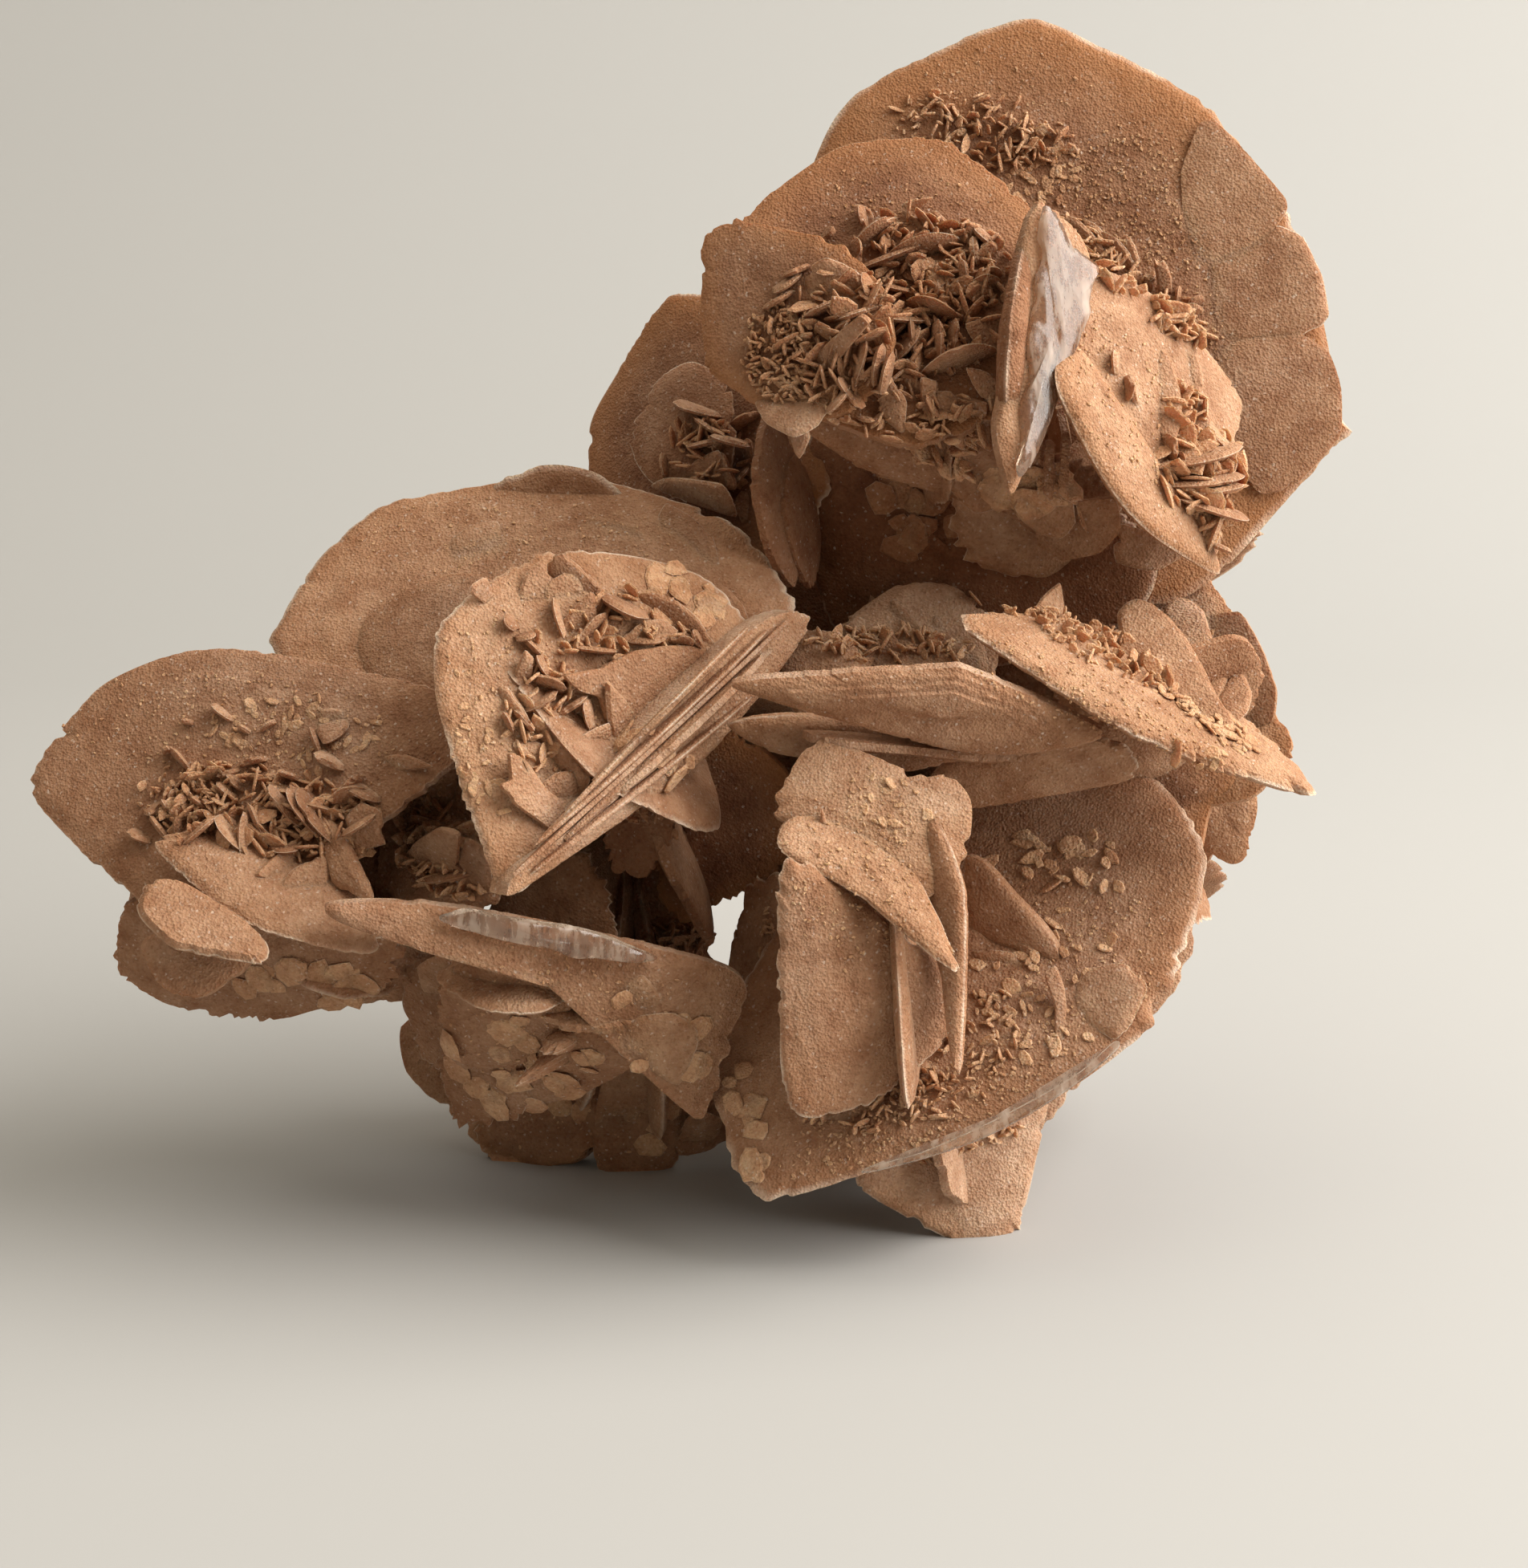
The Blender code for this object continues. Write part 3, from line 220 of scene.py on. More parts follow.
# Small blades that rise off larger ones. (blade that they grow on, rows of angle off that blade, thickness
# and outline, which starts with the root line)
PETALS = [
    ("heart_disc", [
        (25, 2.2, [(-12.6, 28.9), (-31, 12.6), (-34.5, 13.5), (-36.2, 18.7), (-40.6, 20.1), (-44.1, 23.6),
            (-36.2, 25.4), (-32.7, 27.1), (-28.3, 29.2), (-21.3, 30.4), (-15.7, 30.4)]),
        (32, 1.8, [(-14.7, 30.6), (-33.2, 28.3), (-31, 31.8), (-26.6, 35.3), (-22.2, 35.9), (-17.8, 32.7)]),
        (35, 1.8, [(-44.6, 32), (-36.8, 32), (-36.6, 40.6), (-37.8, 42), (-40.6, 39.4), (-44.1, 35.3)]),
        (50, 1.8, [(-35.9, 40.1), (-45.8, 45), (-47.2, 49), (-44.1, 50.2), (-40.9, 48.1), (-37.1, 44.6),
            (-34.1, 41.1)]),
        (25, 1.6, [(-48.6, 39.7), (-39.5, 40.1), (-39.5, 46.4), (-44.1, 45.7), (-48.3, 43.2)]),
        (20, 1.6, [(-45.8, 40.1), (-54.1, 40.1), (-52, 45.8), (-49, 48.6), (-47.1, 48.8)]),
        (58, 2.0, [(-9.6, 29.6), (-25.5, 38.8), (-27.3, 41.5), (-24, 41.6), (-19.6, 40.2), (-15.7, 37.4),
            (-12.2, 33.6)]),
        (50, 1.6, [(-54.6, 21.9), (-50.8, 21.9), (-50.2, 27.1), (-52, 29.2), (-54.1, 25.4)]),
        (38, 2.2, [(-28, 15.7), (-33.2, 10), (-34.1, 14), (-34.6, 22.8), (-31.8, 20.1)]),
        (62, 2.4, [(-52.3, 14.7), (-40.2, -1.8), (-37.8, 1.2), (-43, 8.6), (-48.1, 14)]),
        (60, 2.0, [(-57.7, 19.1), (-53.2, 12.6), (-50.9, 13.3), (-53, 17.3), (-55.8, 21), (-57.9, 22)]),
        (58, 1.8, [(-47.2, 12.2), (-37.6, 10.5), (-41.1, 13.5), (-45.5, 15.6), (-48.1, 14.7)]),
        (52, 1.8, [(-42, 5.8), (-33.2, 10.5), (-33.8, 13.3), (-38.7, 11.2), (-43.2, 8.2)]),
        (52, 1.6, [(-40.4, 2.6), (-32.9, 5.8), (-33.4, 8), (-37.8, 6.8), (-41.5, 4.9)]),
        (32, 1.8, [(-49.7, -3), (-39.5, -1.8), (-41.1, 2.8), (-45.3, 2.4), (-48.6, 0)]),
        (20, 1.8, [(-43.4, -4.7), (-45.3, -11.2), (-50.2, -7.7), (-54.6, -4.5), (-58.1, 0), (-55.6, 1.2),
            (-56, 7.5), (-52, 5.2), (-47.4, -1.2)]),
        (15, 1.5, [(-53.7, 2.6), (-45.5, 1.8), (-48.1, 8.6), (-54.6, 9.1)]),
        (45, 1.5, [(-42.3, 28.5), (-37.6, 28.5), (-38.7, 32.7), (-40.2, 33.8)]),
        (45, 1.5, [(-36.4, 28.5), (-33.2, 28.5), (-34.8, 32)]),
        (25, 1.5, [(-36.2, 31), (-28, 31.5), (-28.7, 33.6), (-33.2, 34.8), (-35.7, 33.4)]),
        (40, 1.5, [(-61.6, 40.1), (-59.5, 41.8), (-60.5, 45), (-63.7, 43.6), (-64, 41.5)]),
    ]),
    ("shoulder_disc", [
        (7, 1.4, [(-42, 52.7), (-24.5, 49.5), (-26.1, 54.2), (-30.8, 56.9), (-36.2, 57.9), (-40.9, 56.9)]),
        (7, 1.4, [(-22.8, 56.3), (-9.1, 47.4), (-11, 53.4), (-15.6, 58.1), (-21.3, 61.2)]),
        (8, 1.6, [(-26.6, 40.6), (-2.1, 31.8), (-4.2, 38.3), (-8.2, 42.9), (-15, 44.1), (-21.7, 48.1),
            (-28.5, 49.2)]),
        (9, 1.6, [(-36.8, 39.7), (-4.2, 28.9), (-5.9, 34.1), (-13.3, 37.1), (-25.7, 43), (-36.4, 46.2)]),
        (6, 1.4, [(-68.6, 48.5), (-54.6, 50.2), (-58.1, 57.2), (-64.2, 56.3), (-68.6, 52.8)]),
    ]),
    ("crown_crest", [
        (40, 1.6, [(35.9, 118.8), (29.4, 124.8), (30.1, 125.8), (33.2, 123.7), (36.4, 120.2)]),
        (45, 1.5, [(31.1, 124.8), (29.4, 125.3), (30.1, 126.5), (33.2, 127.7), (36.9, 128.1), (35, 126.2)]),
        (45, 1.6, [(42, 117.4), (36.4, 123.4), (37.1, 125.1), (40.2, 122.7), (43, 118.3)]),
    ]),
    ("crown_lobe", [
        (25, 2.0, [(22.8, 108), (9.1, 105), (8.9, 110.4), (10.5, 113.2), (13.6, 114.8), (18.2, 113),
            (21.9, 110.4)]),
    ]),
    ("crown_crest", [
        (22, 1.6, [(41.6, 116.7), (34.6, 115.3), (34.3, 111.8), (35.7, 109.4), (39, 108.7), (41.1, 112)]),
        (25, 1.6, [(34.6, 113.2), (29.7, 113.2), (30.4, 110.6), (34.6, 109.2)]),
        (40, 1.6, [(25.9, 121.1), (23.8, 121.3), (19.9, 126.3), (23.1, 125.5)]),
        (35, 2.0, [(57.7, 103.6), (49.7, 93.3), (47.2, 94), (43.8, 100.3), (51.3, 102.2), (56, 104.6)]),
    ]),
    ("crown_lobe", [
        (45, 2.2, [(13.6, 89.8), (10.5, 91.3), (11.9, 94.3), (16.3, 98.7), (21.3, 102.7), (23.6, 101.1),
            (18.9, 95.5)]),
    ]),
    ("crown_crest", [
        (50, 2.2, [(49, 81), (29.4, 87.5), (27.8, 91), (32.9, 88.9), (37.4, 85.8), (43.4, 84),
            (49.3, 82.8)]),
        (40, 1.8, [(51.4, 84.5), (49, 82.9), (45.8, 86.6), (44.1, 90.8), (47.9, 90.1), (50.6, 88.4)]),
        (30, 1.6, [(58.1, 84.5), (50.4, 83.8), (48.5, 86.3), (53.2, 87.1), (57.4, 86.4)]),
    ]),
    ("crown_under", [
        (30, 2.0, [(40.9, 83.8), (36.4, 83.8), (37.8, 78.2), (41.6, 73.7), (43.9, 72.8), (44.4, 79.6)]),
        (30, 1.8, [(37.4, 85.9), (33.6, 87), (34.5, 81.5), (36.6, 79.6)]),
        (30, 1.8, [(49.7, 82.1), (45, 80.3), (45.8, 74.7), (49.7, 72.6)]),
        (35, 1.8, [(27.6, 88.7), (25, 87.3), (25.9, 80), (30.3, 76.5), (31.1, 83.5)]),
    ]),
    ("crown_disc", [
        (3, 2.4, [(94.1, 113.2), (92, 133.3), (95.9, 146.5), (104.3, 139.1), (113.9, 127.9), (114.4, 125.1),
            (111.3, 120.2), (105.5, 114.1)]),
        (4, 2.6, [(98.5, 96.6), (96.8, 113.2), (106.4, 118.5), (112, 121.8), (117.6, 119.2), (121.8, 110.6),
            (123.2, 102.4), (120.4, 98.9), (113.4, 96.8)]),
        (3, 2.6, [(99.4, 73), (95.9, 94), (107.3, 98), (116.5, 99), (123.7, 94.3), (126.3, 86.6),
            (126.2, 75.6), (116.9, 65.3), (108.1, 62.5)]),
        (40, 2.0, [(73.5, 113.2), (66.5, 120.2), (64.4, 124.1), (67.9, 123.5), (71.6, 120.2),
            (74.7, 115.5)]),
        (42, 2.0, [(78, 110.6), (71.8, 119.9), (68.8, 124.1), (72.4, 122.1), (75.9, 117.8), (78.4, 111.5)]),
        (45, 1.8, [(80.8, 110.4), (78, 113.2), (75.6, 117.4), (73.7, 120.6), (77.2, 118.8), (80.3, 115.1),
            (81.4, 111.5)]),
        (40, 1.6, [(81.2, 110.6), (79.4, 113.2), (78, 120.6), (80.3, 118.6), (81.9, 114.1)]),
        (50, 1.8, [(88.5, 105.3), (86.1, 104.8), (85.6, 109.7), (85, 114.6), (87.5, 113.9), (88.9, 110.4)]),
    ]),
    ("crown_plate", [
        (30, 2.2, [(85.4, 94), (84.7, 83.5), (86.8, 74.7), (89.6, 73.7), (91.3, 79.1), (90.8, 85.2),
            (89.1, 91.9), (87, 95)]),
        (30, 1.8, [(92, 95.7), (92.8, 87.8), (94.8, 82.6), (95.9, 87), (94.5, 93.1)]),
        (30, 1.8, [(93.1, 83.5), (93.4, 77.3), (96.8, 73.8), (97.6, 79.1), (95.9, 82.6)]),
        (45, 1.8, [(94.5, 56.3), (96.9, 51.4), (100.1, 59.7), (94.8, 61.8), (93.4, 59.3)]),
    ]),
    ("crown_disc", [
        (30, 1.6, [(102.9, 84.2), (101.1, 78.2), (103.9, 77.5), (104.5, 82.6)]),
    ]),
    ("crown_under", [
        (40, 1.6, [(60.9, 73), (63, 72.6), (63, 61.6), (60.9, 63.3)]),
        (45, 1.6, [(64.4, 75.1), (66.3, 74.4), (66.1, 62.1), (64.2, 63.9)]),
        (15, 1.8, [(52.5, 63.9), (66.1, 66), (67.9, 57.2), (64.8, 53.4), (59.5, 54.8), (54.6, 59)]),
        (12, 1.8, [(59.1, 59), (77, 61.6), (78.4, 55.5), (73.5, 50.2), (64.4, 48.5), (59.1, 52)]),
        (12, 1.6, [(39.9, 73), (52.1, 68.6), (51.3, 60.7), (46, 59), (39.9, 65.1)]),
        (12, 1.6, [(76.6, 55.5), (92.4, 50.2), (85.4, 46.4), (76.6, 48.5)]),
    ]),
    ("right_tray", [
        (34, 3.4, [(99.4, 11.7), (78.8, 28), (77.5, 32.7), (77, 36.9), (78.8, 39.5), (81.4, 40.4),
            (84.3, 39.4), (88.4, 36.2), (92.6, 31), (96.1, 24.8), (99.2, 18.4), (102.5, 12.9)]),
        (36, 2.8, [(100.3, 18), (89.2, 34.8), (87.3, 38.3), (89.6, 40.6), (92.6, 40.2), (95.9, 37.6),
            (97.5, 32.7), (99.4, 28.3), (101.1, 22.6)]),
        (34, 1.8, [(103.1, 12.8), (100.1, 18.4), (101.1, 22.6), (103.1, 25.2), (105, 23.3), (106.4, 19.6),
            (105.5, 15.7)]),
        (34, 1.8, [(85.8, 30.4), (72.4, 30.4), (75.6, 33.4), (80.1, 34.5), (84.3, 33.8)]),
        (34, 1.6, [(72.4, 31), (65.5, 30.8), (67.7, 33.6), (71.2, 34.1)]),
        (34, 1.6, [(69.3, 32.7), (58.8, 32.2), (60.7, 34.8), (65.5, 34.8)]),
        (34, 1.6, [(57.6, 37.6), (65.1, 37.6), (64.6, 43.9), (60.7, 40.8)]),
    ]),
    ("right_fan", [
        (8, 1.6, [(106.4, 12.6), (95.9, 36.2), (103.8, 38), (109, 29.2), (112, 20.5), (111.3, 13.5)]),
    ]),
    ("nest_disc", [
        (18, 1.8, [(19.6, 25), (14.9, 25), (10.7, 31.1), (13.6, 30.1)]),
        (18, 2.0, [(36.4, 28.2), (28, 35), (26.4, 38.5), (28, 40.4), (30.6, 38.5), (34.3, 34.5),
            (37.8, 30.1)]),
        (12, 2.2, [(23.1, 24.7), (30.1, 24.7), (29.9, 31), (28.7, 33.6), (25.9, 33.9), (24, 31)]),
        (16, 1.8, [(36, 25.7), (29.4, 27.8), (28.9, 31.7), (32.2, 31.5), (34.8, 29.9)]),
        (16, 1.6, [(30.1, 25), (35, 25), (34.5, 27.5), (32, 28.3)]),
        (14, 1.8, [(36, 24.7), (48.3, 24.7), (48.6, 28.3), (47.6, 31.1), (45, 32.4), (40.6, 31),
            (37.3, 28.2)]),
        (18, 1.6, [(37.8, 24.7), (47.6, 24.7), (46.2, 29.2), (40.9, 28.7)]),
        (12, 1.6, [(15.9, 32.4), (22.4, 32), (22, 36.4), (20.8, 37.3), (18.5, 35.2)]),
        (12, 1.6, [(15, 29.6), (22.4, 27.8), (22.9, 32.4), (18.2, 33.4)]),
        (16, 1.6, [(20.3, 24.7), (23.8, 24.7), (24.8, 30.6), (22.4, 29)]),
        (10, 1.5, [(36, 31.3), (40.6, 31), (39.2, 34.6), (37.1, 36.9)]),
    ]),
    ("left_disc", [
        (35, 1.6, [(-95.7, 13.6), (-91, 14.9), (-92.4, 16.4), (-96.8, 16.3)]),
        (30, 1.8, [(-98.3, 12.4), (-90.6, 13.6), (-90.8, 11.9), (-92.9, 10.1), (-96.2, 8.8)]),
        (45, 1.8, [(-119.7, -6.5), (-108.5, -1.9), (-103.2, 0.2), (-106, 1.2), (-110.6, -0.2),
            (-114.4, -3.7), (-119.3, -5.1)]),
    ]),
    ("left_ledge", [
        (40, 2.2, [(-106.2, -20.1), (-95.5, -10.7), (-96.6, -8), (-99.4, -10), (-105.5, -14.5),
            (-111.3, -20.1)]),
        (40, 2.2, [(-95.7, -22.2), (-107.4, -22.9), (-102.9, -18.7), (-96.6, -15.6), (-94.5, -16.6)]),
    ]),
    ("left_disc", [
        (30, 1.8, [(-84.3, 7.3), (-79.1, 4.4), (-72.1, 3.8), (-78.2, 6.5)]),
    ]),
    ("left_ledge", [
        (35, 1.8, [(-117.6, -14.2), (-119.3, -13.1), (-118.3, -7.5), (-116.9, -7.2), (-114.1, -13.8)]),
    ]),
    ("left_disc", [
        (30, 2.0, [(-89.6, -12.8), (-82.9, -11.4), (-83.6, -6.1), (-87.8, -4), (-91.3, -7.5)]),
    ]),
    ("bowl_disc", [
        (38, 4.5, [(45.1, -31.3), (65.1, -38), (64.4, -35), (60.9, -30.1), (54.8, -23.8), (50.4, -18.7),
            (47.6, -16.1), (44.1, -14.9), (43.8, -23.3)]),
        (45, 1.8, [(46.2, -38.3), (57.7, -39.7), (54.2, -36.8), (45.8, -36)]),
        (50, 1.6, [(56, -36.6), (59.5, -38.7), (58.8, -35.9), (55.3, -34.1)]),
        (45, 1.6, [(24.5, -45.3), (39.9, -48.8), (40.1, -47.2), (34.6, -45.5), (27.3, -43.8),
            (23.1, -42.7)]),
        (30, 1.8, [(24.5, -64.6), (29, -61.1), (30.6, -56.2), (30.3, -53.5), (27.5, -52.8), (24.8, -54.8),
            (23.8, -61.4)]),
        (35, 2.0, [(30.8, -56.5), (39.2, -60.4), (39.2, -47.8), (35.3, -45.8), (32.5, -46.9),
            (30.1, -50.6)]),
        (44, 1.6, [(30.4, -57.6), (38.5, -61.8), (34.6, -61.8), (31.1, -59.7)]),
        (30, 1.6, [(62.3, -56.2), (64.2, -54.8), (66, -49.5), (65.5, -44.3), (63.7, -39.7), (61.1, -41.5),
            (63.3, -48.6)]),
        (30, 1.5, [(50, -49.9), (55.3, -49.2), (52.5, -48.1)]),
        (30, 1.5, [(51.1, -56.9), (53.5, -56.9), (54.2, -53), (51.8, -52)]),
        (15, 1.6, [(8.4, -71.9), (19.2, -72.3), (24.8, -69.1), (17.1, -68.4)]),
        (12, 1.8, [(67.9, -47.8), (78.4, -54.8), (83.6, -44.3), (78.4, -39), (69.6, -40.8)]),
    ]),
    ("hood_disc", [
        (35, 1.5, [(11.9, -11), (14.7, -11.7), (13.6, -7.9), (12.6, -5.4)]),
        (25, 1.5, [(18.9, -8.2), (22, -7.7), (21.3, -6.5), (18.9, -6.8)]),
        (25, 1.5, [(25.9, -11.9), (29.4, -11), (28.3, -8.4), (26.6, -9.3)]),
    ]),
    ("back_scale", [
        (40, 1.8, [(-18.7, 72.6), (-15.6, 72.8), (-16.4, 76.5), (-17.3, 79.6), (-18, 76.5)]),
        (55, 2.0, [(-24.7, 65.8), (-6.6, 59.3), (-7, 62.5), (-9.1, 65.3), (-16.1, 66.5), (-21.3, 66.8)]),
        (35, 1.6, [(-19.9, 66), (-8.4, 65.6), (-9.8, 72.8), (-15.7, 70)]),
    ]),
    ("back_disc", [
        (30, 1.8, [(-3.8, 55.8), (-2.6, 63.9), (-5.2, 63.7), (-6.8, 60.7), (-5.9, 57.6)]),
    ]),
    ("back_scale", [
        (30, 1.6, [(-8.2, 66), (-5.9, 66), (-8.2, 71.2), (-9.6, 72.6)]),
    ]),
    ("crown_lobe", [
        (40, 2.0, [(5.8, 80), (8.4, 71.6), (9.8, 75.6), (8.4, 79.3)]),
        (25, 1.8, [(-2.1, 82.6), (14.5, 83.5), (11.9, 78.2), (6.6, 75.6), (0.5, 78.6)]),
    ]),
    ("gully_fan", [
        (45, 1.8, [(-79.1, -18), (-68.6, -21.5), (-66, -11), (-70.7, -9.3), (-76.5, -12.8)]),
        (35, 1.8, [(-68.6, -23.3), (-59.5, -23.3), (-60.5, -14.5), (-65.1, -11.9)]),
    ]),
    ("gully_disc", [
        (25, 1.8, [(-79.1, -2.3), (-68.6, -5.8), (-66.8, 3), (-73.8, 8.2), (-79.1, 4.7)]),
        (30, 1.6, [(-68.6, -7.5), (-61.6, -9.3), (-61.6, -1.4), (-66, 2.1)]),
    ]),
    ("foot_blade", [
        (12, 1.6, [(-37.1, -74), (-21.3, -74), (-20.3, -63.5), (-26.6, -58.3), (-35, -61.8)]),
    ]),
    ("foot_wing", [
        (24, 1.6, [(-74.7, -45.1), (-68.6, -46), (-66, -39.9), (-71.2, -37.3), (-75.6, -39.9)]),
    ]),
    ("glass_ledge", [
        (5, 1.4, [(-31.8, -56.5), (-17.8, -64.4), (-14, -54.8), (-19.6, -49.9), (-28.3, -50.9)]),
        (5, 1.4, [(-31.8, -43.6), (-24.5, -49.9), (-22, -46.7), (-26.6, -41.6)]),
    ]),
    ("foot_chip", [
        (40, 1.8, [(-18.2, -77.5), (-10.5, -77.5), (-9.1, -73.1), (-14, -71.2), (-17, -73.1)]),
    ]),
]

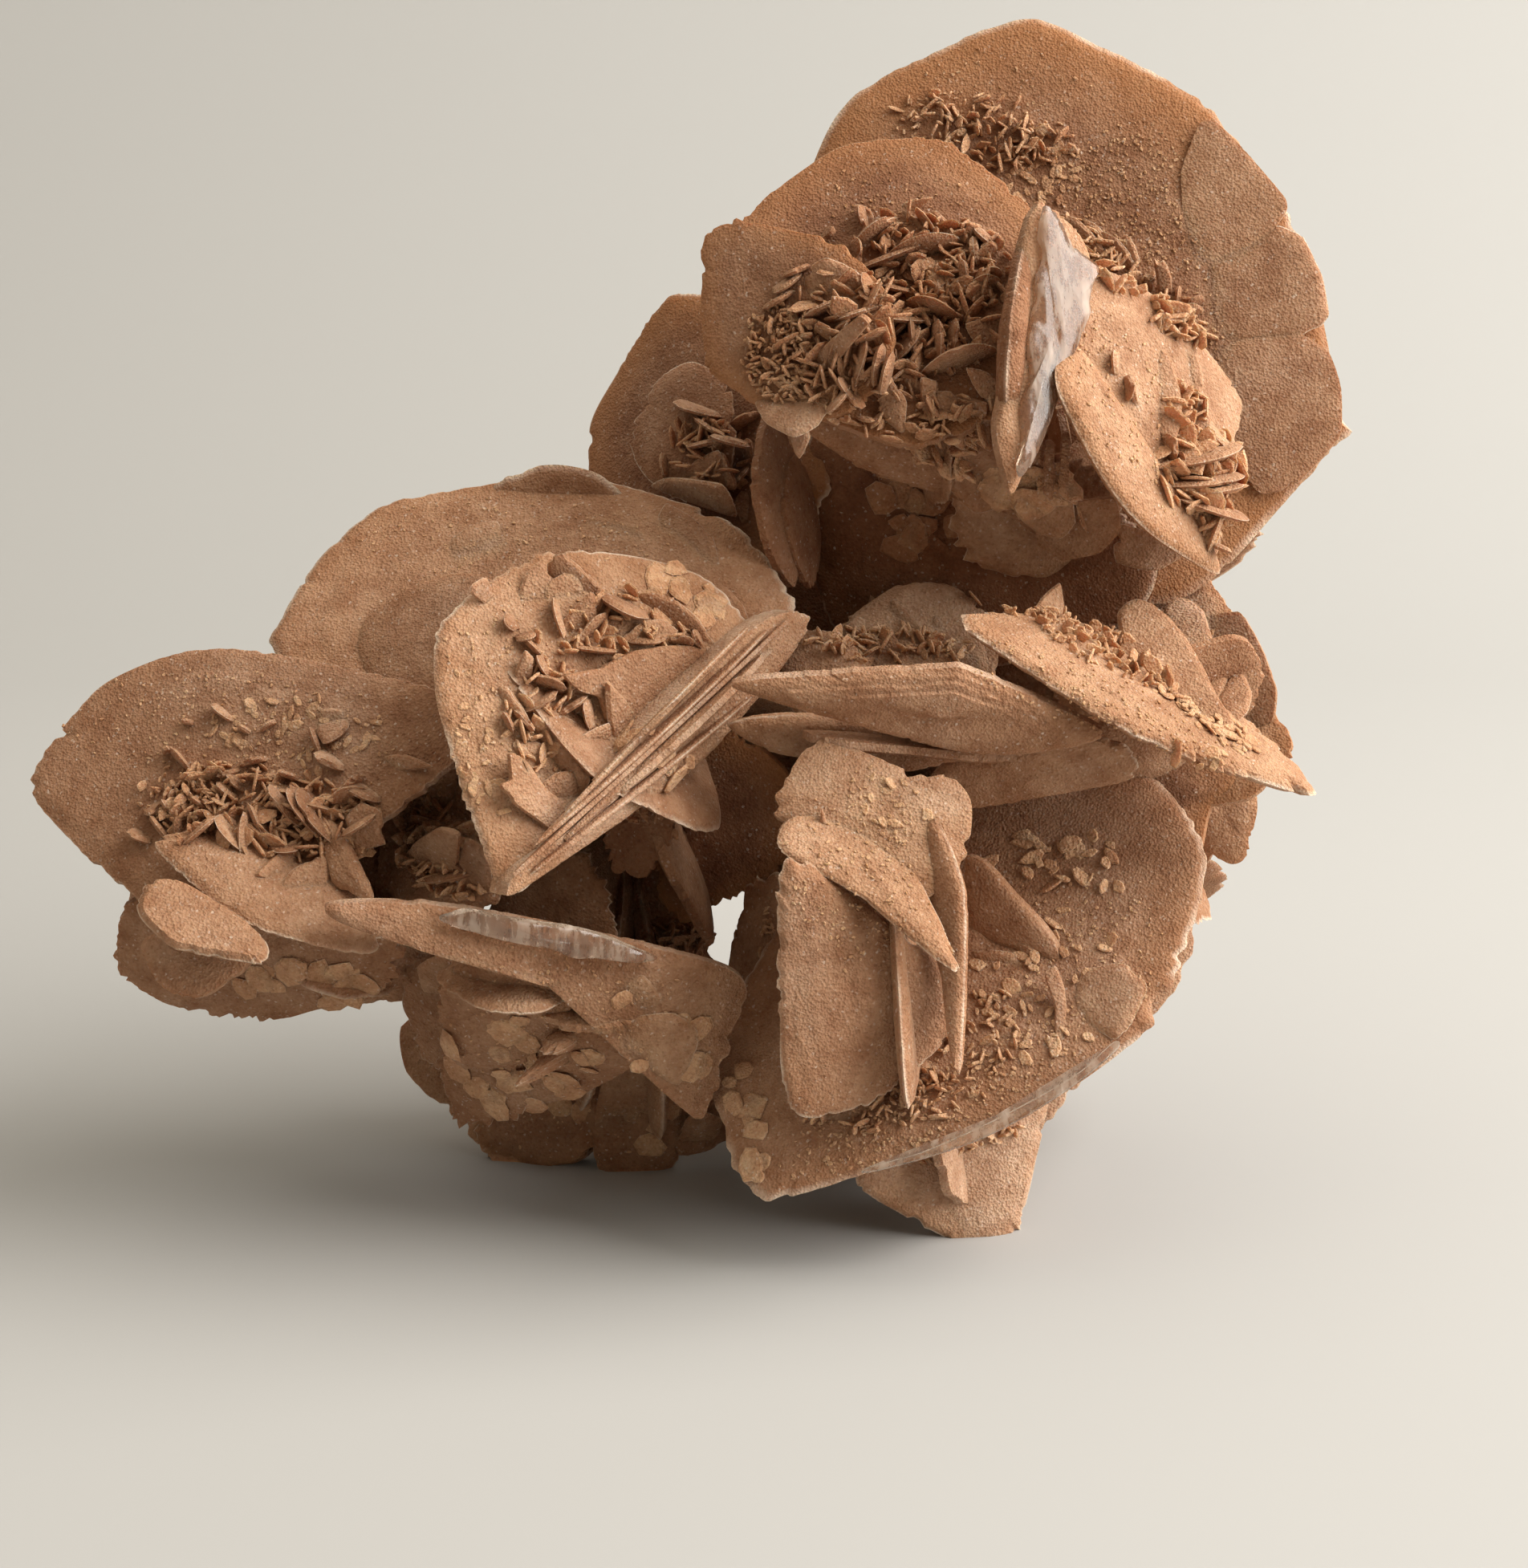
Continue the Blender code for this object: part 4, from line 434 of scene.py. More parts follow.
# Small blades seen on their edge. (blade that they grow on, rows of one tip, other tip, half width and
# thickness)
EDGES = [
    ("back_scale", [
        ((-19.1, 83.6), (-9.6, 80), 7, 1.8), ((-22, 72.3), (-21.5, 66.3), 4, 1.5),
        ((-16.8, 73.3), (-8, 75.4), 6, 1.6), ((-11.2, 76.3), (-3.7, 73.5), 6, 1.6),
    ]),
    ("back_disc", [
        ((-7, 77), (-0.7, 81.2), 6, 1.6), ((-4.7, 74.2), (-2.4, 70.3), 5, 1.5),
    ]),
    ("back_scale", [
        ((-15, 80), (-9.1, 75.6), 5, 1.4),
    ]),
    ("back_disc", [
        ((-6.5, 66), (-3, 69.5), 5, 1.4),
    ]),
    ("gully_fan", [
        ((-75.6, -20.6), (-61.6, -18.9), 5, 1.6), ((-72.1, -14.5), (-63.3, -20.6), 5, 1.6),
    ]),
    ("gully_disc", [
        ((-78.2, -7.5), (-68.6, -10.1), 5, 1.6), ((-75.6, 3), (-68.6, 8.2), 5, 1.5),
    ]),
    ("heart_disc", [
        ((-56.2, 37.4), (-53.5, 33.1), 4, 1.3), ((-55.1, 31.3), (-50.2, 33.1), 4, 1.3),
        ((-52.7, 32), (-48.5, 28), 4, 1.4), ((-49.2, 29), (-46.5, 22.9), 5, 1.5),
        ((-50.9, 23.3), (-43, 19.9), 6, 1.8), ((-52.3, 15.6), (-45.5, 20.6), 5, 1.5),
        ((-46, 14.3), (-38.8, 19.2), 5, 1.5), ((-38.3, 18.9), (-37.6, 11), 5, 1.4),
        ((-37.1, 41.8), (-25, 36.4), 8, 2.2), ((-15.2, 33.8), (-13.8, 29.6), 4, 1.4),
        ((-57, 15.7), (-54.6, 11), 4, 1.4), ((-42, 29.9), (-32.2, 28.9), 5, 1.3),
        ((-40.6, 31), (-33.6, 36.2), 5, 1.5), ((-30.1, 31), (-20.5, 32.7), 5, 1.4),
        ((-22.2, 31.5), (-15, 30.4), 4, 1.3), ((-54.6, 16.1), (-49.7, 10.8), 5, 1.5),
        ((-45.8, 40.6), (-43.2, 31), 5, 1.3), ((-54.6, 6.5), (-51.1, 0.3), 4, 1.3),
    ]),
    ("crown_crest", [
        ((19.9, 112), (36.9, 118.6), 8, 1.8), ((24.8, 112.9), (42.9, 118.6), 8, 1.8),
        ((19.1, 117.1), (29.2, 123.2), 7, 1.7), ((18.9, 117.9), (20.8, 112.5), 6, 1.6),
        ((21.9, 125.8), (22.2, 119.9), 5, 1.4), ((12.6, 118.1), (14.7, 121.6), 4, 1.4),
        ((36.8, 109), (37.1, 104.5), 5, 1.4), ((42, 113.2), (43.9, 107.6), 6, 2.2),
        ((30.8, 104.8), (43.6, 100.8), 9, 1.9), ((23.8, 102.5), (36.8, 101.1), 8, 1.7),
        ((34.1, 89.4), (50.9, 94.7), 9, 2.0), ((37.1, 100.3), (38.3, 91.5), 8, 2.0),
        ((40.4, 101), (40.9, 93.6), 6, 1.5), ((32.2, 101.3), (33.1, 91.9), 7, 1.6),
    ]),
    ("crown_lobe", [
        ((25.4, 84.9), (28.2, 94.3), 7, 1.8), ((23.8, 86.6), (26.1, 96.1), 7, 1.8),
    ]),
    ("crown_crest", [
        ((27.3, 91.2), (32.9, 100.3), 7, 1.6),
    ]),
    ("crown_lobe", [
        ((19.8, 87), (22, 97.5), 6, 1.6), ((15.4, 101), (25.9, 104.5), 6, 1.4),
        ((8.4, 101), (18.9, 105.9), 6, 1.5), ((16.8, 88.7), (19.4, 83.5), 5, 1.4),
        ((13.6, 80.8), (18.9, 87), 5, 1.4), ((18, 103.6), (15.4, 97.5), 5, 1.4),
    ]),
    ("crown_crest", [
        ((45.8, 118.8), (46.4, 113.2), 5, 2.0), ((46.4, 121.1), (50.4, 117.2), 5, 2.0),
        ((46.9, 110.6), (52.1, 111.5), 5, 1.5), ((44.3, 108), (52.1, 109.4), 5, 1.4),
        ((25.9, 108.8), (32.9, 107.1), 5, 1.5), ((27.6, 97.5), (31.1, 101), 5, 1.4),
    ]),
    ("crown_lobe", [
        ((1.4, 107.1), (8.4, 111.5), 5, 1.5), ((-0.3, 103.6), (6.6, 107.6), 5, 1.4),
        ((4, 110.6), (10.1, 113.2), 5, 1.4),
    ]),
    ("crown_plate", [
        ((85.4, 68.8), (102.5, 74.5), 9, 2.0), ((88.5, 64.8), (103.2, 67.9), 8, 1.8),
        ((90.6, 62.6), (102.5, 65.5), 8, 1.8), ((89.6, 62.6), (105, 58.4), 8, 1.8),
        ((95.9, 78.6), (102.5, 73), 6, 1.6), ((96.8, 50.6), (100.1, 59.3), 6, 1.6),
        ((87, 76.5), (89.1, 69.8), 5, 1.5), ((94, 73.7), (96.1, 68.9), 5, 1.5),
        ((89.9, 72.6), (91, 67.4), 5, 1.5), ((97.6, 71.2), (98.3, 66), 5, 1.5),
        ((87.1, 67.7), (99.4, 70.3), 6, 1.5), ((96.8, 52.7), (100.4, 51.3), 5, 1.4),
        ((77, 94.5), (76.6, 89.1), 4, 1.3), ((78.8, 89.1), (79.4, 83.1), 4, 1.3),
        ((80.5, 88), (81.2, 82.2), 4, 1.3),
    ]),
    ("crown_disc", [
        ((90.6, 108.7), (89.9, 103.8), 4, 1.4), ((92, 103.4), (96.2, 105.9), 5, 1.4),
        ((89.9, 102), (95.9, 103.4), 5, 1.4), ((82.9, 111.1), (84.7, 107.6), 4, 1.4),
        ((82.8, 109.4), (85.4, 111.8), 4, 1.4),
    ]),
    ("left_disc", [
        ((-119.9, 17.5), (-115.8, 13.6), 4, 1.4), ((-126.9, 13.6), (-124.1, 13.3), 3, 1.2),
        ((-114.3, 12.1), (-111.8, 11.2), 3, 1.2), ((-109.9, 11.5), (-106, 14), 3, 1.2),
        ((-98.9, 12.1), (-96.6, 6.1), 4, 1.4), ((-96.9, 7.3), (-91.9, 3), 5, 1.5),
        ((-131.2, 6.6), (-128.6, 8), 3, 1.2), ((-129.2, 7.2), (-125.3, 3.3), 4, 1.3),
        ((-129.7, -4.4), (-128.3, -1.2), 3, 1.3), ((-135.3, -6.1), (-131.1, -4.4), 4, 1.3),
        ((-130.9, -3.8), (-128.8, -7.5), 4, 1.4), ((-137.9, -9.8), (-133.9, -12.9), 4, 1.4),
        ((-133.5, -7.3), (-130, -12.1), 4, 1.5), ((-128.3, -11.4), (-126.5, -6.3), 4, 1.4),
        ((-125.5, -3), (-120.7, -6.3), 4, 1.4), ((-122.1, -3.8), (-118.3, -5.9), 4, 1.4),
    ]),
    ("left_ledge", [
        ((-126.5, -12.9), (-119.5, -7.2), 5, 1.5),
    ]),
    ("left_disc", [
        ((-114.3, 4), (-107.8, 5.8), 4, 1.3), ((-119.5, 1.9), (-113.9, 3.1), 4, 1.3),
        ((-118.6, 0.5), (-114.6, -3.5), 4, 1.4), ((-116, 2.4), (-113, -1.8), 4, 1.4),
    ]),
    ("left_ledge", [
        ((-108.1, -3), (-100.6, -12.2), 8, 1.7),
    ]),
    ("left_disc", [
        ((-106.4, 0), (-99.8, -10.5), 8, 1.7), ((-102, -0.3), (-96.1, -12.4), 9, 1.9),
        ((-99.9, -1), (-94, -13.1), 9, 1.8),
    ]),
    ("left_ledge", [
        ((-109.9, -4), (-105.9, -12.4), 7, 1.6), ((-112.3, -5.8), (-108.8, -13.1), 7, 1.6),
        ((-114.3, -14.9), (-111.1, -7.9), 6, 1.5), ((-117.1, -6.8), (-113.6, -14.9), 6, 1.5),
    ]),
    ("left_disc", [
        ((-94.1, -4.7), (-86.4, -1.2), 7, 1.6), ((-92.4, -3.7), (-87.5, 1.9), 6, 1.5),
        ((-92.4, -11.4), (-84, -6.1), 7, 1.6), ((-105.3, 2.1), (-100.4, 0.9), 5, 1.4),
    ]),
    ("left_ledge", [
        ((-108.8, -14.5), (-101.5, -12.8), 6, 1.4),
    ]),
    ("left_disc", [
        ((-89.6, 0.3), (-84.3, -4), 6, 1.5), ((-103.6, -4), (-93.1, -6.1), 7, 1.4),
    ]),
    ("heart_stack", [
        ((-55.6, -20.8), (6.6, 36.9), 3, 1.6), ((-50.4, -13.8), (1.4, 34.1), 3, 1.4),
        ((-44.1, -7.5), (-2.8, 34.8), 3, 1.6), ((-38, -0.2), (-8.2, 28.9), 3, 1.4),
        ((-51.1, -19.8), (-2.4, 19.1), 3, 1.8), ((-44.1, -12.8), (-4.7, 22.2), 3, 1.3),
    ]),
]

# Groups of small crystals. (blades that they grow on, middle, half width, half height, turn, tries,
# smallest and largest length, how they sit, height of the mound that they form)
TUFTS = [
    ("crown_crest crown_lobe", (29, 101), 29, 17, 20, 260, 3, 9, "stand", 4),
    ("crown_crest crown_lobe", (38, 113), 19, 12, -10, 90, 3, 8, "stand", 3),
    ("crown_lobe crown_crest", (4, 94), 8, 12, 0, 240, 1.6, 4.2, "stand", 3),
    ("crown_lobe crown_crest", (28, 83), 23, 8, -10, 80, 3, 7, "stand", 2),
    ("crown_disc", (48, 142), 22, 8, -12, 170, 2, 6, "stand", 2),
    ("crown_disc", (59, 133), 10, 9, 0, 50, 1.5, 5, "lie", 0),
    ("crown_plate crown_disc", (73, 115), 14, 4, -40, 70, 3, 8, "stand", 2),
    ("crown_plate crown_disc", (90, 101), 8, 4, -40, 60, 3, 8, "stand", 2),
    ("crown_plate", (94, 66), 9, 11, 10, 120, 4, 12, "stand", 3),
    ("crown_plate", (91, 81), 5, 7, 0, 30, 3, 8, "stand", 2),
    ("crown_under", (59, 61), 13, 9, 0, 26, 6, 13, "scale", 1),
    ("crown_under", (43, 76), 14, 8, 0, 50, 5, 12, "stand", 1),
    ("crown_disc", (82, 127), 19, 16, -40, 420, 0.6, 1.5, "lie", 0),
    ("crown_disc", (96, 92), 16, 23, 0, 260, 0.6, 1.4, "lie", 0),
    ("crown_disc", (49, 152), 21, 9, 0, 60, 0.6, 1.3, "lie", 0),
    ("crown_crest crown_lobe", (31, 127), 19, 9, 0, 90, 0.6, 1.3, "lie", 0),
    ("crown_plate crown_keel", (82, 80), 12, 23, 30, 200, 0.6, 1.3, "lie", 0),
    ("left_disc", (-114, 12), 40, 14, -5, 240, 0.6, 1.4, "lie", 0),
    ("bowl_disc bowl_shelf", (35, -69), 38, 10, 25, 420, 0.6, 1.6, "lie", 0),
    ("bowl_disc", (70, -36), 18, 19, 0, 200, 0.6, 1.4, "lie", 0),
    ("heart_disc", (-44, 22), 30, 26, 0, 300, 0.6, 1.5, "lie", 0),
    ("heart_stack", (-25, 7), 4, 40, 42, 160, 0.6, 1.2, "lie", 0),
    ("shoulder_disc", (-55, 52), 38, 12, 0, 160, 0.6, 1.3, "lie", 0),
    ("right_tray right_lens", (70, 19), 38, 7, -22, 260, 0.6, 1.3, "lie", 0),
    ("hood_disc hood_ledge hood_wall", (21, -18), 16, 23, 0, 220, 0.6, 1.4, "lie", 0),
    ("glass_ledge foot_shell foot_disc foot_blade", (-41, -57), 30, 24, 0, 260, 0.6, 1.4, "lie", 0),
    ("back_disc back_scale", (-11, 71), 10, 9, -20, 60, 3, 8, "stand", 3),
    ("throat_plate throat_blade throat_blade_2", (35, 59), 12, 10, 30, 16, 6, 12, "scale", 1),
    ("heart_disc", (-34, 31), 18, 10, 20, 60, 3, 7, "stand", 2),
    ("heart_disc", (-48, 15), 9, 12, -10, 50, 3, 7, "stand", 2),
    ("heart_disc", (-18, 41), 12, 6, -25, 16, 4, 10, "scale", 0),
    ("heart_disc", (-62, 6), 5, 19, 12, 24, 2, 5, "lie", 0),
    ("heart_stack", (-25, 7), 5, 44, 42, 90, 3, 10, "lie", 1),
    ("left_disc left_ledge left_under", (-105, -7), 26, 10, -12, 260, 3, 8, "stand", 4),
    ("left_disc", (-102, 11), 21, 8, -5, 60, 1.5, 4.5, "lie", 0),
    ("left_disc left_ledge", (-125, -5), 12, 8, -20, 90, 2, 5, "stand", 3),
    ("left_under", (-104, -43), 21, 5, -4, 14, 5, 11, "scale", 0),
    ("gully_disc gully_fan", (-70, -16), 11, 9, -30, 70, 4, 9, "stand", 3),
    ("gully_disc gully_fan", (-76, -4), 7, 9, 0, 40, 3, 7, "stand", 2),
    ("nest_disc nest_rim nest_lobe right_lens", (28, 30), 18, 4, 0, 90, 3, 7, "stand", 2),
    ("nest_disc right_tray right_fan", (55, 39), 10, 3, -10, 50, 2, 6, "stand", 2),
    ("right_tray right_fan", (77, 28), 23, 4, -24, 120, 2, 6, "stand", 2),
    ("right_tray", (96, 15), 16, 3, -35, 70, 2, 6, "lie", 1),
    ("right_fan right_tray", (92, 28), 9, 10, -20, 30, 3, 8, "stand", 2),
    ("right_ear right_tray", (96, 3), 8, 5, 0, 20, 3, 7, "lie", 1),
    ("bowl_disc bowl_shelf", (26, -69), 19, 7, 8, 150, 1.5, 5, "stand", 2),
    ("bowl_disc", (61, -46), 19, 16, 35, 60, 2, 6, "lie", 1),
    ("bowl_disc", (47, -55), 10, 12, 0, 60, 2, 5, "stand", 1),
    ("bowl_disc", (-4, -74), 4, 12, 14, 14, 4, 9, "scale", 0),
    ("bowl_disc bowl_wall", (66, -18), 16, 8, -10, 26, 3, 7, "lie", 1),
    ("hood_disc hood_ledge", (28, -4), 10, 6, 0, 14, 2, 5, "lie", 0),
    ("spike", (43, -78), 14, 2, 14, 50, 2, 6, "stand", 1),
    ("foot_shell foot_disc foot_wing foot_scale foot_fan", (-51, -62), 18, 14, -10, 26, 5, 11, "scale", 0),
    ("foot_blade glass_ledge foot_chip", (-27, -64), 18, 19, 0, 16, 5, 11, "scale", 0),
    ("foot_shell foot_disc foot_wing foot_scale", (-13, -74), 7, 6, 0, 26, 4, 8, "stand", 2),
    ("heart_under heart_flap gate_sill gate_left", (-18, -34), 10, 4, 0, 50, 3, 7, "stand", 2),
    ("gate_right bowl_wall hood_wall", (1, -36), 2, 10, 0, 40, 2, 4, "stand", 0),
    ("heart_under heart_flap", (-21, -4), 10, 10, 0, 40, 4, 9, "stand", 2),
]

# Clear broken faces. name: (blade that each is set in, height of its middle above the blade, thickness,
# outline)
SHARDS = {
    "spear_glass": ("crown_spear", 0.3, 4.0, [(61, 126), (63, 125), (65, 122), (67, 118), (69, 116),
        (73, 113), (72, 110), (71, 106), (71, 103), (69, 98), (67, 92), (65, 87), (62, 78), (59, 71),
        (56, 67), (55, 69), (56, 73), (56, 78), (56, 83), (58, 89), (57, 96), (58, 101), (59, 106),
        (59, 110), (61, 116), (60, 121)]),
    "ledge_glass": ("glass_ledge", 0.1, 4.0, [(-71, -29), (-65, -27), (-61, -28), (-55, -29), (-48, -30),
        (-41, -31), (-34, -33), (-27, -36), (-23, -38), (-28, -39), (-36, -38), (-41, -38), (-46, -36),
        (-52, -35), (-57, -34), (-61, -33), (-64, -32), (-68, -31)]),
    "bowl_glass": ("bowl_disc", 0.1, 1.2, [(22, -84), (33, -81), (45, -76), (57, -70), (69, -63), (77, -56),
        (78, -57), (70, -64), (58, -72), (46, -78), (34, -82), (22, -85)]),
}


# ---------------------------------------------------------------- places

def facing(turn, tip):
    """The direction that a blade's front face looks in, before the board leans back."""
    turn = math.radians(turn)
    tip = math.radians(tip)
    return np.array((math.sin(turn) * math.cos(tip), -math.cos(turn) * math.cos(tip), math.sin(tip)))


def sighted(x, z, depth):
    """The place seen at a drawn point, at a depth behind the board."""
    reach = (EYE_DISTANCE + depth) / EYE_DISTANCE
    return np.array((x * reach, depth, z * reach))


def onto_plane(points, centre, normal):
    """Where the lines of sight through drawn points meet a blade's plane."""
    points = np.atleast_2d(points).astype(float)
    rays = np.column_stack((points[:, 0], np.full(len(points), EYE_DISTANCE), points[:, 1]))
    reach = (centre - EYE) @ normal / (rays @ normal)
    return EYE + rays * reach[:, None]


def standing(points):
    """Places behind the board, as they are in the standing cluster, in metres."""
    return (points @ LEAN.T + CENTRE_SHIFT) * MM


def unit(vector):
    return vector / np.linalg.norm(vector)


def rolled(one, other, roll):
    """The facing of a blade that is turned about its own length, away from facing the viewer."""
    along = unit(other - one)
    toward = np.array((0.0, -1.0, 0.0))
    front = unit(toward - along * (toward @ along))
    return front * math.cos(math.radians(roll)) + np.cross(front, along) * math.sin(math.radians(roll))


def plate_plane(name):
    """A drawn blade's middle and facing."""
    depth, turn, tip, _, outline = PLATES[name]
    x, z = np.mean(outline, axis=0)
    return sighted(x, z, depth), facing(turn, tip)


def surface_plane(name, lift):
    """A point and the facing of the plane that lies a little above or below a drawn blade's front face."""
    centre, normal = plate_plane(name)
    return centre + normal * (PLATES[name][3] / 2 + lift), normal


# ---------------------------------------------------------------- rims

def smooth_loop(points, steps=24, roundness=0.42):
    """A closed curve through the points."""
    points = np.asarray(points, float)
    before = np.roll(points, 1, axis=0)
    after = np.roll(points, -1, axis=0)
    beyond = np.roll(points, -2, axis=0)
    t = (np.arange(steps) / steps)[None, :, None]
    p0, p1, p2, p3 = (p[:, None, :] for p in (before, points, after, beyond))
    m1 = (p2 - p0) * roundness
    m2 = (p3 - p1) * roundness
    curve = (
        (2 * t**3 - 3 * t**2 + 1) * p1
        + (t**3 - 2 * t**2 + t) * m1
        + (3 * t**2 - 2 * t**3) * p2
        + (t**3 - t**2) * m2
    )
    return curve.reshape(-1, points.shape[1])


def rim_at(loop, share):
    """The places along a closed curve at shares of its length."""
    closed = np.vstack((loop, loop[:1]))
    run = np.concatenate(([0.0], np.cumsum(np.linalg.norm(np.diff(closed, axis=0), axis=1))))
    run /= run[-1]
    return np.column_stack([np.interp(share, run, closed[:, k]) for k in range(loop.shape[1])])


def almond(one, other, half_width, normal, sides=72, point=1.45):
    """The rim of a pointed blade between two tips."""
    angle = 2 * math.pi * np.arange(sides) / sides
    along = unit(other - one)
    across = np.cross(along, normal)
    swell = half_width * np.sign(np.sin(angle)) * np.abs(np.sin(angle)) ** point
    run = np.linalg.norm(other - one) / 2 * np.cos(angle)
    return (one + other) / 2 - along * run[:, None] + across * swell[:, None]


def wander(angle, chance, low, high, count):
    """A smooth random wave round a rim, of about unit height, from waves of low to high per turn."""
    total = np.zeros_like(angle)
    for _ in range(count):
        waves = round(chance.uniform(low, high))
        total += math.sqrt(low / waves) * np.sin(waves * angle + chance.uniform(0, 2 * math.pi))
    return total / math.sqrt(count)


# ---------------------------------------------------------------- looks of the blades

# how much a rim wanders in mm, its nicks, the growth steps of each face, and the rim's share of the
# thickness
LOOKS = {
    "plain": (0.5, 7, 3, 0.18),
    "ragged": (1.2, 14, 3, 0.2),
    "crisp": (0.3, 4, 1, 0.2),
    "slab": (0.45, 8, 1, 0.62),
    "petal": (0.14, 2, 0, 0.35),
}
# the drawn blades whose look isn't plain
OWN_LOOKS = {
    "ragged": (
        "foot_shell", "foot_disc", "foot_wing", "foot_scale", "foot_terrace", "foot_terrace_2",
        "foot_terrace_3", "heart_under", "heart_flap", "gate_right", "gate_left", "under_lobe",
        "crown_under", "left_under", "right_tray",
    ),
    "crisp": ("left_lens", "bowl_knife", "crown_keel", "crown_spear"),
    "slab": ("heart_stack", "left_coin", "left_saucer"),
}
# how far light gets through a blade's rim: the strength of the amber glow painted into the colour there
GLOWS = {
    "crown_disc": 1.0, "crown_crest": 0.75, "crown_lobe": 0.75, "back_disc": 0.9, "heart_under": 1.0,
    "right_fan": 0.7, "bowl_wall": 0.8, "nape_disc": 0.6, "right_ear": 0.5, "crown_keel": 0.5,
    "foot_disc": 0.5, "shoulder_disc": 0.3, "heart_disc": 0.3, "bowl_disc": 0.3,
}
PLAIN_GLOW = 0.15
CRYSTAL_GLOW = 0.05
# how pale a blade's sand is, from 0.1 for dark to 1, and within PLAIN_TONES if not named: on named blades,
# painted shade where they lie in shade and painted light where they are lit
PAINTED_LIGHT_TONES = {
    "crown_disc": 0.4, "crown_crest": 0.3, "crown_lobe": 0.42, "crown_plate": 0.85, "crown_under": 0.6,
    "crown_keel": 1.0, "crown_spear": 0.9, "back_disc": 0.3, "back_scale": 0.4, "throat_plate": 0.1,
    "throat_blade": 0.3, "throat_blade_2": 0.3, "crown_spine": 0.3, "nape_disc": 0.4,
    "shoulder_disc": 0.75, "heart_disc": 1.0, "heart_under": 0.2, "heart_flap": 0.35, "left_disc": 0.5,
    "left_under": 0.55, "left_ledge": 0.8, "left_coin": 0.85, "left_saucer": 0.7, "glass_ledge": 0.6,
    "foot_shell": 0.55, "foot_wing": 0.55, "foot_scale": 0.5, "foot_fan": 0.5, "foot_disc": 0.55,
    "foot_blade": 0.55, "foot_chip": 0.5, "bowl_disc": 0.55, "bowl_wall": 0.35, "hood_disc": 1.0,
    "hood_ledge": 1.0, "hood_wall": 0.6, "right_lens": 0.7, "right_tray": 1.0, "right_fan": 0.95,
    "left_lens": 0.8, "nest_disc": 1.0, "spike": 1.0,
}
PLAIN_TONES = (0.6, 1.0)
TUFT_TONE = 0.8
# how much paler a small crystal is than the blade that it grows on: painted light on the crystals' lit tops
CRYSTAL_LIFT = (0.15, 0.45)


def look_of(name):
    return next((look for look, names in OWN_LOOKS.items() if name in names), "plain")


# ---------------------------------------------------------------- meshes

def pick(thing):
    """Selects one object and makes it the active one."""
    bpy.ops.object.select_all(action="DESELECT")
    thing.select_set(True)
    bpy.context.view_layer.objects.active = thing


def unit_ball(around, rings):
    """A ball primitive and its points."""
    bpy.ops.object.select_all(action="DESELECT")
    bpy.ops.mesh.primitive_uv_sphere_add(segments=around, ring_count=rings, radius=1.0)
    ball = bpy.context.object
    points = np.empty(len(ball.data.vertices) * 3)
    ball.data.vertices.foreach_get("co", points)
    return ball, points.reshape(-1, 3)


def shade_values(mesh, rim, tone_and_painted_light, glow):
    """Keeps on each point what the gypsum material reads: nearness to the rim, paleness with its painted
    light and shade, and the painted rim glow.
    """
    for label, values in (("rim", rim), ("tone_and_painted_light", tone_and_painted_light), ("glow", glow)):
        mesh.attributes.new(label, "FLOAT", "POINT").data.foreach_set("value", values)


# ---------------------------------------------------------------- blades

POINTS_AROUND = (6.0, 40, 360)  # per mm of a blade's size, at least and at most
RINGS_INWARD = (0.95, 10, 52)
RIM_CROWDING = 0.82     # below 1 draws the rings of points toward the rim
THINNEST_RIM = 0.35
THINNEST_LENS = 0.2
LENS_FLATNESS = 3.5     # how far a face stays flat before it falls to the rim
LENS_FALL = 0.62
RIM_ROUND = 0.02        # the worn rounding at the very edge, as a share of the blade's size
NICK_WIDTHS = (0.5, 3.2)
NICK_DEPTHS = (0.4, 1.8)
STEP_FIRST = 0.07       # growth steps, as shares of the blade's size in from the rim
STEP_SPACING = 0.15
STEP_SLOPE = 0.012
STEP_HEIGHT = 0.6
# waves round a rim: fewest and most per turn, and how many are summed
PATCHES = (2, 7, 4)
BROAD_WAVES = (4, 12, 4)
TEETH = (17, 46, 8)
FINE_TEETH = (50, 120, 9)
STEP_WAVES = (2, 9, 6)
STEP_ARCS = (1, 3, 3)


def swung_rim(angle, out, size, jag, nicks, chance):
    """How far each point is pushed out or in by the rim's ragged line and its nicks."""
    patchy = np.clip(0.55 + 1.1 * wander(angle, chance, *PATCHES), 0, 1.5)
    broad = 0.6 * wander(angle, chance, *BROAD_WAVES)
    teeth = wander(angle, chance, *TEETH) + 0.8 * wander(angle, chance, *FINE_TEETH)
    swing = 1 + jag / size * (broad + patchy * teeth) * out**3
    for _ in range(nicks):
        place = chance.uniform(-math.pi, math.pi)
        width = chance.uniform(*NICK_WIDTHS) / size
        depth = chance.uniform(*NICK_DEPTHS) / size
        gap = np.abs((angle - place + math.pi) % (2 * math.pi) - math.pi)
        swing -= depth * np.clip(1.6 - 1.6 * gap / width, 0, 1) * out**6
    return swing


def lens_height(angle, out, side, full, steps, chance):
    """The height of each point above the blade's middle plane: a lens section with growth steps."""
    height = full * (1 - 0.13 * steps) * (1 - out**LENS_FLATNESS) ** LENS_FALL
    for number in range(steps):
        for face in (-1, 1):
            place = 1 - (STEP_FIRST + STEP_SPACING * number + chance.uniform(-0.03, 0.03))
            place = place + 0.04 * wander(angle, chance, *STEP_WAVES)
            arc = np.clip(0.5 + 0.9 * wander(angle, chance, *STEP_ARCS), 0, 1)
            rise = np.clip((place - out) / STEP_SLOPE, 0, 1) * arc
            height += np.where(side == face, rise * min(STEP_HEIGHT, full * 0.16), 0)
    return height


def points_for(size, per_mm, least, most):
    return int(np.clip(size * per_mm, least, most))


